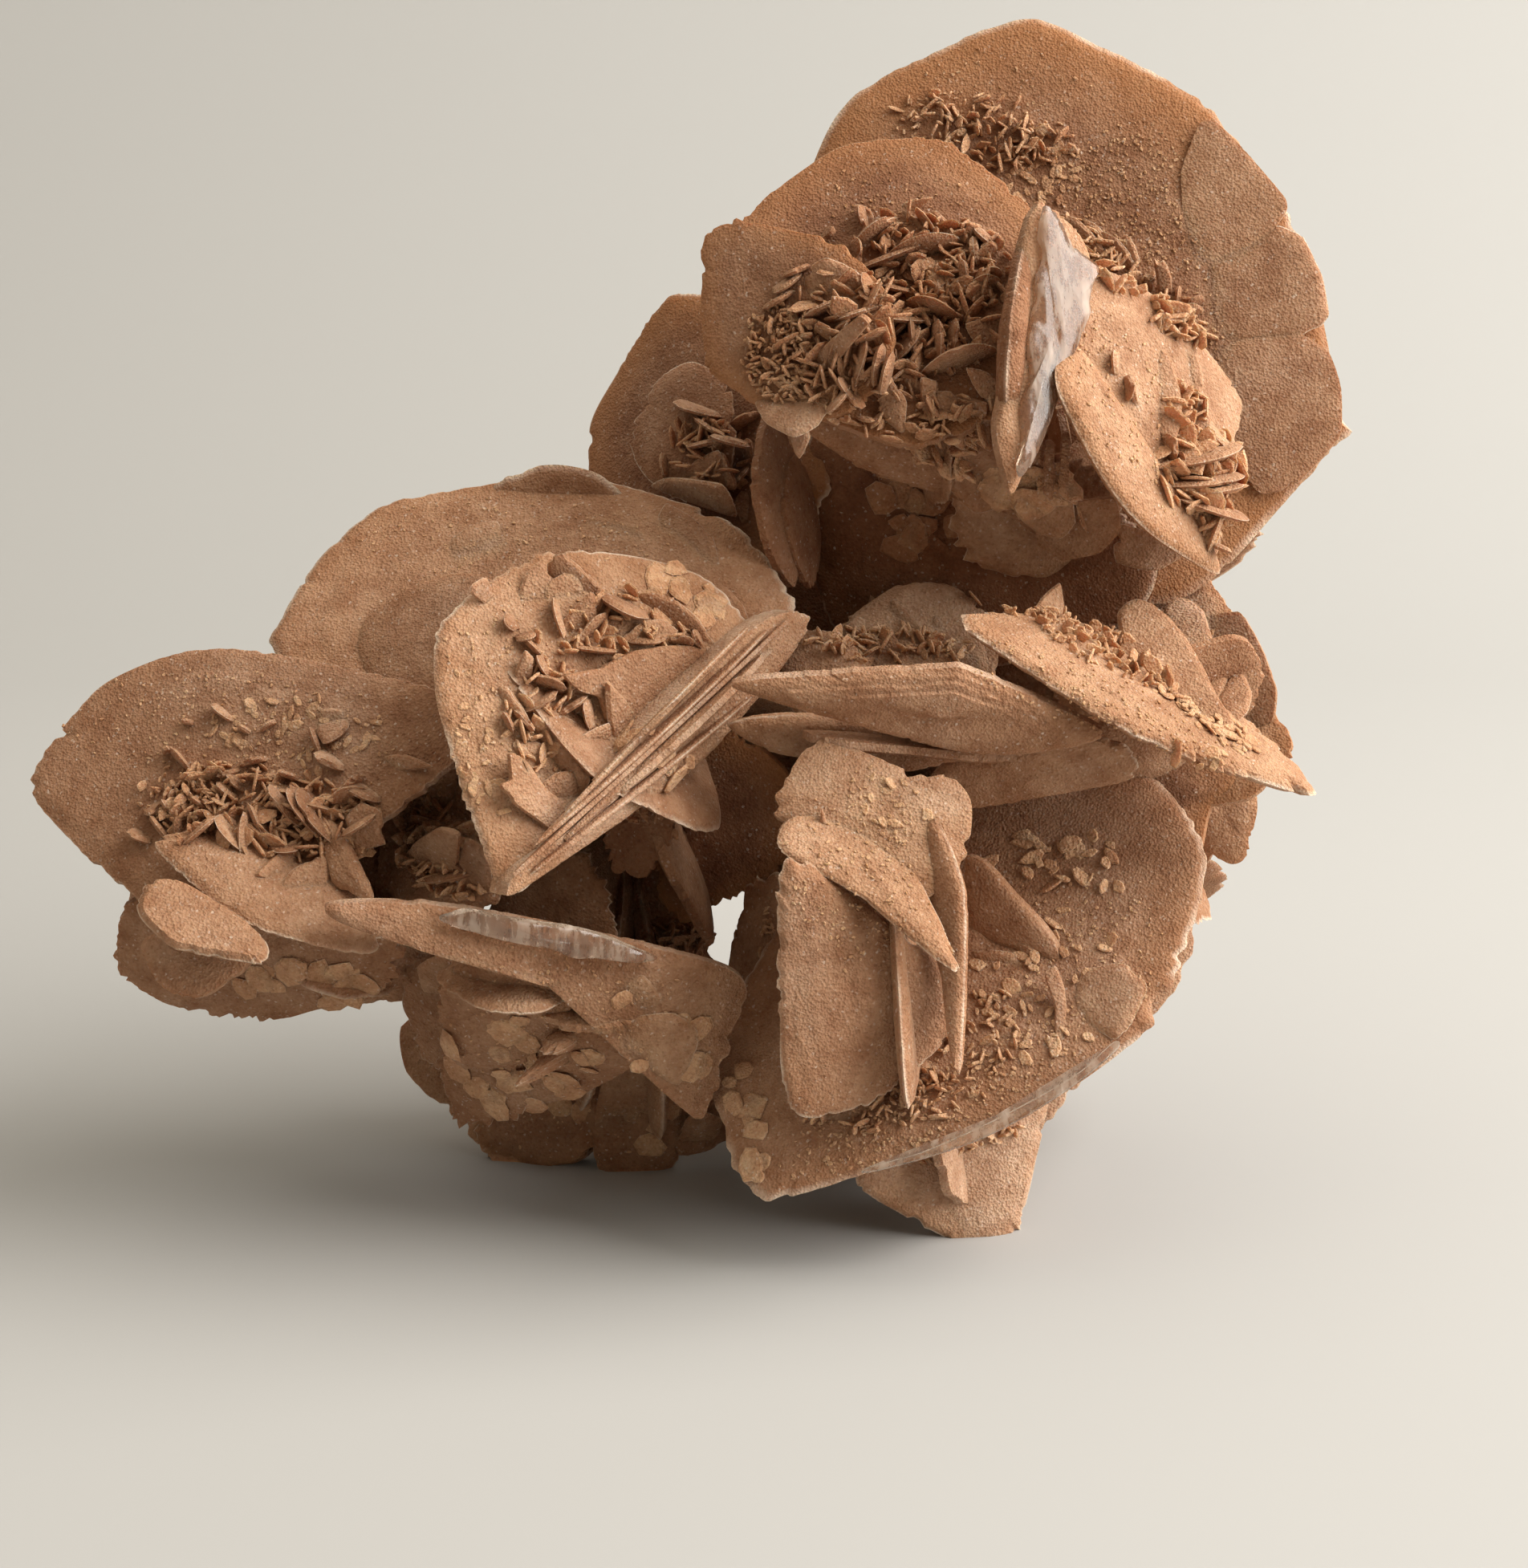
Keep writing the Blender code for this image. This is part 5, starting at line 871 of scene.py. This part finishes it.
def blade(name, loop, normal, thickness, look="plain"):
    """A gypsum blade within a closed rim: a ball primitive, flattened onto the rim and its lens section."""
    chance = random.Random(name)
    centre = loop.mean(axis=0)
    size = np.linalg.norm(loop - centre, axis=1).max()
    made, ball = unit_ball(points_for(size, *POINTS_AROUND), points_for(size, *RINGS_INWARD))
    made.name = name
    angle = np.arctan2(ball[:, 1], ball[:, 0])
    level = 1 - np.abs(np.arcsin(np.clip(ball[:, 2], -1, 1))) / (math.pi / 2)
    out = level**RIM_CROWDING
    side = np.sign(np.round(ball[:, 2], 6))
    rim = rim_at(loop, (angle / (2 * math.pi)) % 1.0)
    jag, nicks, steps, rim_share = LOOKS[look]
    rim_half = max(THINNEST_RIM, thickness / 2 * rim_share)
    swing = swung_rim(angle, out, size, jag, nicks, chance)
    height = lens_height(angle, out, side, max(thickness / 2 - rim_half, THINNEST_LENS), steps, chance)
    edge = np.clip((1 - out) / RIM_ROUND, 0, 1) ** 0.5 * rim_half
    flat = centre + (rim - centre) * (out * swing)[:, None]
    placed = standing(flat + normal * (side * (height + edge))[:, None])
    made.data.vertices.foreach_set("co", placed.ravel())
    # named blades take their painted light and shade, the others a random tone of their own
    tone_and_painted_light = PAINTED_LIGHT_TONES.get(name, chance.uniform(*PLAIN_TONES))
    glow = GLOWS.get(name, PLAIN_GLOW)
    shade_values(made.data, out, np.full(len(out), tone_and_painted_light), np.full(len(out), glow))
    bpy.ops.object.mode_set(mode="EDIT")
    bpy.ops.mesh.select_all(action="SELECT")
    bpy.ops.mesh.normals_make_consistent(inside=False)
    if placed[:, 2].min() < 0:
        bpy.ops.mesh.bisect(plane_co=(0, 0, 0), plane_no=(0, 0, 1), use_fill=True, clear_inner=True)
    bpy.ops.object.mode_set(mode="OBJECT")
    return made


def plate(name):
    thickness, outline = PLATES[name][3:]
    centre, normal = plate_plane(name)
    loop = onto_plane(smooth_loop(outline), centre, normal)
    return blade(name, loop, normal, thickness, look_of(name))


def leaf(name):
    one, other, half_width, roll, thickness = LEAVES[name]
    one = sighted(one[0], one[2], one[1])
    other = sighted(other[0], other[2], other[1])
    normal = rolled(one, other, roll)
    return blade(name, almond(one, other, half_width, normal), normal, thickness)


def back_blade(name):
    """A plain blade of uneven round outline."""
    x, depth, z, turn, tip, radius, stretch, thickness = BACK_DISCS[name]
    chance = random.Random(name)
    normal = facing(turn, tip)
    across = np.array(Vector(normal).orthogonal().normalized())
    along = np.cross(normal, across)
    swing = chance.uniform(0, 2 * math.pi)
    angle = 2 * math.pi * np.arange(24) / 24
    reach = radius * (1 + 0.07 * np.cos(3 * angle + swing) + 0.05 * np.cos(5 * angle - swing))
    rim = np.outer(reach * stretch * np.cos(angle), across) + np.outer(reach * np.sin(angle), along)
    return blade(name, smooth_loop(np.array((x, depth, z)) + rim), normal, thickness)


PETAL_ROOT = 1.6        # how deep a small blade is rooted in the one that it grows on
PETAL_CURVE = (8, 0.22)  # steps and roundness of its outline


def petal(number, host, lean, thickness, outline):
    """A small blade that rises off a larger one from the line between its first two drawn points."""
    lean = math.radians(lean)
    surface, front = surface_plane(host, -PETAL_ROOT)
    ground = onto_plane(outline, surface, front)
    hinge = unit(ground[1] - ground[0])
    away = ground[2:].mean(axis=0) - ground[0]
    away = unit(away - hinge * (away @ hinge))
    normal = front * math.cos(lean) - away * math.sin(lean)
    loop = onto_plane(outline, ground[0], normal)
    loop[:2] -= (away * math.cos(lean) + front * math.sin(lean)) * PETAL_ROOT
    return blade(f"petal_{number:03d}", smooth_loop(loop, *PETAL_CURVE), normal, thickness, "petal")


EDGE_ROLLS = (70, 86)   # how far a blade seen on its edge is rolled away, to either side


def upright(number, host, one, other, reach, thickness):
    """A small blade that stands out of a larger one and is seen on its edge."""
    chance = random.Random(f"edge {number}")
    one, other = onto_plane((one, other), *surface_plane(host, 0.0))
    normal = rolled(one, other, chance.choice((-1, 1)) * chance.uniform(*EDGE_ROLLS))
    loop = almond(one, other, reach, normal)
    return blade(f"edge_{number:03d}", loop, normal, thickness, "petal")


def shard(name):
    """A broken face of clear crystal, set in the front of a blade."""
    host, lift, thickness, outline = SHARDS[name]
    surface, normal = surface_plane(host, lift)
    loop = onto_plane(smooth_loop(outline, 8), surface, normal)
    return blade(name, loop, normal, thickness, "crisp")


def joined(name, pieces):
    """One object from several."""
    bpy.ops.object.select_all(action="DESELECT")
    for piece in pieces:
        piece.select_set(True)
    bpy.context.view_layer.objects.active = pieces[0]
    if len(pieces) > 1:
        bpy.ops.object.join()
    whole = bpy.context.object
    whole.name = name
    return whole


# ---------------------------------------------------------------- small crystals

# how the crystals of a group sit: narrowest and widest share of their length, and how far a face tilts
STYLES = {"stand": (0.4, 0.75, 0.34), "lie": (0.4, 0.75, 0.34), "scale": (0.7, 0.95, 0.14)}
CORNERS = 8
CORNER_REACH = (0.7, 1.12)
THINNEST_CRYSTAL = 0.4
CRYSTAL_SLIMNESS = (0.04, 0.08)
SMALL_ONES = 1.6        # above 1 makes more of a group's crystals small
RISES = (0.1, 1.2)      # how steeply a standing crystal rises, in radians


def small_ball():
    """The points and faces of a small ball primitive, to be flattened into crystals."""
    ball, points = unit_ball(CORNERS, 4)
    faces = [tuple(face.vertices) for face in ball.data.polygons]
    bpy.data.meshes.remove(ball.data)
    return points, faces


BALL_POINTS, BALL_FACES = small_ball()


def crystal_points(middle, normal, along, length, width, thickness, chance):
    """One small crystal: an angular flake, nearly flat on both faces."""
    x, y, z = BALL_POINTS.T
    across = np.cross(normal, along)
    corner = np.round(np.arctan2(y, x) / (2 * math.pi / CORNERS)).astype(int) % CORNERS
    uneven = np.array([chance.uniform(*CORNER_REACH) for _ in range(CORNERS)])[corner]
    inner = np.where(np.abs(z) > 0.5, 1.18, 1.0)
    run = x * length / 2 * uneven * inner
    reach = y * width / 2 * uneven * inner
    rise = np.sign(z) * np.minimum(np.abs(z) * 1.2, 1.0) * thickness / 2
    return middle + np.outer(run, along) + np.outer(reach, across) + np.outer(rise, normal)


def met(trees, hosts, target):
    """The place in mm and the facing of the surface that the eye meets on the way to a target, if any."""
    eye = Vector(standing(EYE))
    hits = [trees[host].ray_cast(eye, (target - eye).normalized()) for host in hosts]
    hits = [hit for hit in hits if hit[0] is not None]
    if not hits:
        return None
    place, normal = min(hits, key=lambda hit: hit[3])[:2]
    normal = unit(np.array(normal))
    if normal @ np.array(eye - place) < 0:
        normal = -normal
    return np.array(place) / MM, normal


def tuft(number, trees):
    """A group of small crystals grown on the blades that the eye meets within an ellipse."""
    hosts, centre, half_x, half_z, turn, tries, smallest, largest, style, mound = TUFTS[number]
    hosts = hosts.split()
    chance = random.Random(f"tuft {number}")
    turn = math.radians(turn)
    # the crystals take the painted light and shade of the first blade that they grow on
    tone_and_painted_light = PAINTED_LIGHT_TONES.get(hosts[0], TUFT_TONE)
    narrow, wide, tilt = STYLES[style]
    found = []
    for _ in range(tries):
        angle = chance.uniform(0, 2 * math.pi)
        reach = math.sqrt(chance.random()) * chance.uniform(0.75, 1.1)
        x = reach * half_x * math.cos(angle)
        z = reach * half_z * math.sin(angle)
        x, z = x * math.cos(turn) - z * math.sin(turn), x * math.sin(turn) + z * math.cos(turn)
        spot = met(trees, hosts, Vector(standing(np.array((centre[0] + x, 0.0, centre[1] + z)))))
        if spot is None:
            continue
        place, normal = spot
        length = smallest + (largest - smallest) * chance.random() ** SMALL_ONES
        width = length * chance.uniform(narrow, wide)
        thickness = THINNEST_CRYSTAL + length * chance.uniform(*CRYSTAL_SLIMNESS)
        sideways = unit(np.cross(normal, [chance.gauss(0, 1) for _ in range(3)]))
        other = np.cross(normal, sideways)
        lean = chance.gauss(0, tilt)
        if style == "stand":
            face = unit(sideways * math.cos(lean) + normal * math.sin(lean))
            grow = other * math.cos(chance.uniform(*RISES)) + normal * math.sin(chance.uniform(*RISES))
            grow = unit(grow)
            lift = width * chance.uniform(0.0, 0.35)
        else:
            face = unit(normal * math.cos(lean) + sideways * math.sin(lean))
            grow = other
            lift = thickness * chance.uniform(-0.1, 0.5)
        grow = unit(grow - face * (grow @ face))
        rise = mound * max(0.0, 1 - reach**2) * chance.random()
        middle = place + normal * (lift + rise)
        points = crystal_points(middle, face, grow, length, width, thickness, chance)
        found.append((points * MM, tone_and_painted_light))
    return found


def crystal_mesh(name, crystals):
    """One object from many small crystals."""
    size = len(BALL_POINTS)
    points = np.vstack([crystal for crystal, _ in crystals])
    faces = [tuple(index + first for index in face)
             for first in range(0, len(points), size) for face in BALL_FACES]
    mesh = bpy.data.meshes.new(name)
    mesh.from_pydata(points, [], faces)
    mesh.update()
    chance = random.Random(name)
    rim = np.tile(1.0 - np.abs(BALL_POINTS[:, 2]) * 0.35, len(crystals))
    # each crystal is painted paler than its blade, standing in for the light on its tops
    tone_and_painted_light = np.repeat([min(1.0, tone_and_painted_light + chance.uniform(*CRYSTAL_LIFT)) for _, tone_and_painted_light in crystals], size)
    shade_values(mesh, rim, tone_and_painted_light, np.full(len(points), CRYSTAL_GLOW))
    made = bpy.data.objects.new(name, mesh)
    bpy.context.scene.collection.objects.link(made)
    return made


# ---------------------------------------------------------------- materials

def colour(hexed):
    """A linear colour from an sRGB hex value."""
    parts = [int(hexed[k:k + 2], 16) / 255 for k in (1, 3, 5)]
    return tuple(p / 12.92 if p <= 0.04045 else ((p + 0.055) / 1.055) ** 2.4 for p in parts) + (1.0,)


def add(tree, kind, inputs, **settings):
    """Adds a node with its settings, and gives each named or numbered input its value or its link."""
    made = tree.nodes.new("ShaderNode" + kind)
    for key, value in settings.items():
        setattr(made, key, value)
    for socket, value in inputs.items():
        if isinstance(value, bpy.types.NodeSocket):
            tree.links.new(value, made.inputs[socket])
        else:
            made.inputs[socket].default_value = value
    return made


def ramp(tree, value, *stops):
    """A colour ramp through stops of (place, hex colour or grey level)."""
    made = add(tree, "ValToRGB", {0: value})
    while len(made.color_ramp.elements) < len(stops):
        made.color_ramp.elements.new(0.5)
    for element, (place, shade) in zip(made.color_ramp.elements, stops):
        element.position = place
        element.color = colour(shade) if isinstance(shade, str) else (shade, shade, shade, 1.0)
    return made.outputs["Color"]


def mix(tree, share, one, other, blend="MIX"):
    """Two colours mixed, each a link or a hex colour."""
    one, other = (colour(shade) if isinstance(shade, str) else shade for shade in (one, other))
    made = add(tree, "Mix", {0: share, 6: one, 7: other}, data_type="RGBA", blend_type=blend)
    return made.outputs[2]


def times(tree, one, other):
    return add(tree, "Math", {0: one, 1: other}, operation="MULTIPLY").outputs[0]


def noise(tree, place, across, detail, roughness=0.5):
    """Noise with features of about the given size in mm."""
    inputs = {"Vector": place, "Scale": 1000 / across, "Detail": detail, "Roughness": roughness}
    return add(tree, "TexNoise", inputs).outputs["Fac"]


def cells(tree, place, across):
    """Cells of about the given size in mm."""
    return add(tree, "TexVoronoi", {"Vector": place, "Scale": 1000 / across}, feature="F1")


def kept_value(tree, label):
    return add(tree, "Attribute", {}, attribute_name=label).outputs["Fac"]


def fresh_material(name):
    """A material with no nodes but the object's own coordinates."""
    material = bpy.data.materials.new(name)
    material.use_nodes = True
    tree = material.node_tree
    tree.nodes.clear()
    return material, tree, add(tree, "TexCoord", {}).outputs["Object"]


def finish_surface(tree, inputs):
    surface = add(tree, "BsdfPrincipled", inputs)
    add(tree, "OutputMaterial", {"Surface": surface.outputs[0]})


def sand_gypsum(name, drifts):
    """Gypsum grown through fine desert sand: matt, grainy and tan, with painted light and shade per blade,
    painted glints, and a painted amber glow where light gets through a rim.
    """
    material, tree, place = fresh_material(name)
    rim = kept_value(tree, "rim")
    # broad drifts of paler and browner sand
    broad = noise(tree, place, across=50, detail=3.0, roughness=0.6)
    mixed = ramp(tree, broad, *zip((0.30, 0.52, 0.72), drifts))
    # each blade paler or darker by its tone, which is painted light and shade on the named blades and a
    # random difference of its own on the rest; then mottled, and made of sand grains
    blade_tone_and_painted_light = mix(tree, kept_value(tree, "tone_and_painted_light"), "#B4967E", "#FFFFFF")
    mottle = noise(tree, place, across=7, detail=4.0, roughness=0.65)
    mottled = ramp(tree, mottle, (0.34, "#DDCFC4"), (0.60, "#FFFFFF"))
    grain = cells(tree, place, across=0.6)
    grains = ramp(tree, grain.outputs["Color"], (0.0, "#DCCFC4"), (0.3, "#F4EFEA"), (0.8, "#FFFFFF"))
    for other in (blade_tone_and_painted_light, mottled, grains):
        mixed = mix(tree, 1.0, mixed, other, "MULTIPLY")
    # pale specks of uncoated crystal, painted in as glints of light
    speck = ramp(tree, cells(tree, place, across=0.5).outputs["Color"], (0.84, 0.0), (0.95, 0.4))
    mixed = mix(tree, speck, mixed, "#EBD9C8")
    # the amber band inside a thin rim: a painted glow of light coming through it
    band = times(tree, ramp(tree, rim, (0.62, 0.0), (0.93, 1.0)), kept_value(tree, "glow"))
    mixed = mix(tree, times(tree, band, 0.6), mixed, "#AE7443")
    # the pale line worn along the rim's edge
    worn = ramp(tree, noise(tree, place, across=14, detail=3.0), (0.40, 0.08), (0.64, 0.7))
    edge = times(tree, ramp(tree, rim, (0.972, 0.0), (0.995, 1.0)), worn)
    mixed = mix(tree, edge, mixed, "#E9D3BD")
    # relief: sand grains, and a coarser crust
    fine = add(tree, "Bump", {"Height": grain.outputs["Distance"], "Strength": 0.9, "Distance": 0.4 * MM})
    crust = noise(tree, place, across=1.6, detail=5.0, roughness=0.7)
    relief = add(tree, "Bump", {
        "Height": crust, "Strength": 0.8, "Distance": 0.8 * MM, "Normal": fine.outputs[0],
    })
    finish_surface(tree, {
        "Base Color": mixed, "Roughness": 0.78, "Specular IOR Level": 0.35, "Normal": relief.outputs[0],
        "Subsurface Weight": 0.22, "Subsurface Radius": (1.0, 0.5, 0.25), "Subsurface Scale": 3 * MM,
    })
    return material


def selenite():
    """Clear gypsum on fresh breaks: glassy cleavage faces with milky streaks."""
    material, tree, place = fresh_material("clear_selenite")
    stretched = add(tree, "Mapping", {"Vector": place, "Scale": (1.0, 1.0, 0.25)}).outputs[0]
    streak = noise(tree, stretched, across=3, detail=6.0, roughness=0.7)
    tint = mix(tree, ramp(tree, streak, (0.50, 0.0), (0.72, 1.0)), "#D9C2AC", "#E6D6C6")
    chips = cells(tree, stretched, across=4).outputs["Distance"]
    relief = add(tree, "Bump", {"Height": chips, "Strength": 0.5, "Distance": MM})
    finish_surface(tree, {
        "Base Color": tint, "Roughness": ramp(tree, streak, (0.40, 0.12), (0.70, 0.55)),
        "Transmission Weight": ramp(tree, streak, (0.45, 0.95), (0.75, 0.4)), "IOR": 1.52,
        "Normal": relief.outputs[0],
    })
    return material


def matt_paper():
    material, tree, _ = fresh_material("matt_paper")
    finish_surface(tree, {"Base Color": colour("#AEADAA"), "Roughness": 0.9, "Specular IOR Level": 0.2})
    return material


# ---------------------------------------------------------------- the cluster

# rosette: how the names of its blades start
ROSETTES = {
    "crown": ("crown_",),
    "upper_left": ("back_", "throat_", "under_"),
    "heart": ("shoulder_disc", "heart_disc", "heart_edge", "heart_stack", "small_petal"),
    "left": (
        "left_disc", "left_ledge", "left_coin", "left_saucer", "left_under", "left_tail", "left_knife",
        "gully_",
    ),
    "foot": ("glass_ledge", "foot_"),
    "middle": ("heart_under", "heart_flap", "gate_"),
    "bowl": ("bowl_", "hood_", "spike"),
    "right": ("right_", "left_lens", "nest_"),
}
# the sharpest angle that is still shaded smooth
BLADE_CREASE = 38
CRYSTAL_CREASE = 30
CLEAR_CREASE = 25


def rosette_of(name):
    """The rosette that a blade belongs to, the plain blades at the back being a group of their own."""
    if name in BACK_DISCS:
        return "behind"
    return next(rosette for rosette, starts in ROSETTES.items() if name.startswith(starts))


def dress(whole, material, crease):
    """Gives a finished piece its material, its smooth faces and its place in the frame."""
    whole.data.materials.clear()
    whole.data.materials.append(material)
    pick(whole)
    bpy.ops.object.shade_smooth_by_angle(angle=math.radians(crease))
    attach(whole, "root")
    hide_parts("sand_rose")


blades = {name: plate(name) for name in PLATES}
blades.update((name, leaf(name)) for name in LEAVES)
blades.update((name, back_blade(name)) for name in BACK_DISCS)
graph = bpy.context.evaluated_depsgraph_get()
trees = {name: BVHTree.FromObject(made, graph) for name, made in blades.items()}

crystals = {}
for number, row in enumerate(TUFTS):
    crystals.setdefault(rosette_of(row[0].split()[0]), []).extend(tuft(number, trees))

groups = {}
for name, made in blades.items():
    groups.setdefault(rosette_of(name), []).append(made)
for grow, table in ((petal, PETALS), (upright, EDGES)):
    for number, (host, row) in enumerate((host, row) for host, rows in table for row in rows):
        groups[rosette_of(host)].append(grow(number, host, *row))

gypsum = sand_gypsum("sand_grown_gypsum", ("#B38866", "#C59C7B", "#D3B094"))
# the crystals' material has paler drifts: painted light on the crystals' lit tops
paler = sand_gypsum("fine_gypsum_crystals", ("#D4A47C", "#DFB18A", "#EABF9A"))
for rosette, members in groups.items():
    dress(joined(rosette + "_blades", members), gypsum, BLADE_CREASE)
for rosette, found in crystals.items():
    dress(crystal_mesh(rosette + "_crystals", found), paler, CRYSTAL_CREASE)
clear_breaks = joined("clear_breaks", [shard(name) for name in SHARDS])
dress(clear_breaks, selenite(), CLEAR_CREASE)


# ---------------------------------------------------------------- studio, in metres

SWEEP_REACH = 3.0       # how far the paper goes to each side, to the front and up the wall
SWEEP_START = 0.55      # where its curve starts behind the cluster
SWEEP_RADIUS = 0.7
SWEEP_STEPS = 12
# name: (place, aim, size, watts, tint)
LIGHTS = {
    "window": ((1.35, -0.25, 1.0), (0.0, 0.0, 0.12), 1.8, 74, "#FFFCF8"),
    "fill": ((-0.4, 0.0, 1.9), (-0.1, 0.0, 0.0), 2.6, 21, "#FFF6E8"),
}
ROOM_TINT = "#FBF0DA"
ROOM_STRENGTH = 0.26


def paper_sweep():
    """A sheet of paper that lies flat under the cluster and curves up into a wall behind it."""
    bpy.ops.mesh.primitive_plane_add(size=1.0)
    sheet = bpy.context.object
    sheet.name = "paper_sweep"
    curve = [math.pi / 2 * k / SWEEP_STEPS for k in range(1, SWEEP_STEPS + 1)]
    line = [(-SWEEP_REACH, 0.0), (SWEEP_START, 0.0)]
    line += [(SWEEP_START + SWEEP_RADIUS * math.sin(a), SWEEP_RADIUS * (1 - math.cos(a))) for a in curve]
    line += [(SWEEP_START + SWEEP_RADIUS, SWEEP_REACH)]
    points = [(x, y, z) for y, z in line for x in (-SWEEP_REACH, SWEEP_REACH)]
    faces = [(2 * k, 2 * k + 1, 2 * k + 3, 2 * k + 2) for k in range(len(line) - 1)]
    sheet.data.clear_geometry()
    sheet.data.from_pydata(points, [], faces)
    sheet.data.materials.append(matt_paper())
    bpy.ops.object.shade_smooth()
    return sheet


def area_light(name, place, aim, size, power, tint):
    """A square lamp that lights but isn't seen."""
    lamp = bpy.data.lights.new(name, "AREA")
    lamp.shape = "RECTANGLE"
    lamp.size = lamp.size_y = size
    lamp.energy = power
    lamp.color = colour(tint)[:3]
    made = bpy.data.objects.new(name, lamp)
    bpy.context.scene.collection.objects.link(made)
    made.location = place
    made.rotation_euler = (Vector(aim) - Vector(place)).to_track_quat("-Z", "Y").to_euler()
    made.visible_camera = False


floor = paper_sweep()
for name, settings in LIGHTS.items():
    area_light(name, *settings)
world = bpy.data.worlds.new("room")
world.use_nodes = True
world.node_tree.nodes["Background"].inputs["Color"].default_value = colour(ROOM_TINT)
world.node_tree.nodes["Background"].inputs["Strength"].default_value = ROOM_STRENGTH
bpy.context.scene.world = world
bpy.context.scene.view_settings.view_transform = "Standard"

lens = bpy.data.cameras.new("camera")
lens.sensor_fit = "HORIZONTAL"
lens.sensor_width = SENSOR
lens.lens = SENSOR * EYE_DISTANCE / FRAME_WIDTH
camera = bpy.data.objects.new("camera", lens)
bpy.context.scene.collection.objects.link(camera)
camera.location = standing(EYE)
camera.rotation_euler = (math.radians(90.0) - EYE_RISE, 0.0, 0.0)
bpy.context.scene.camera = camera
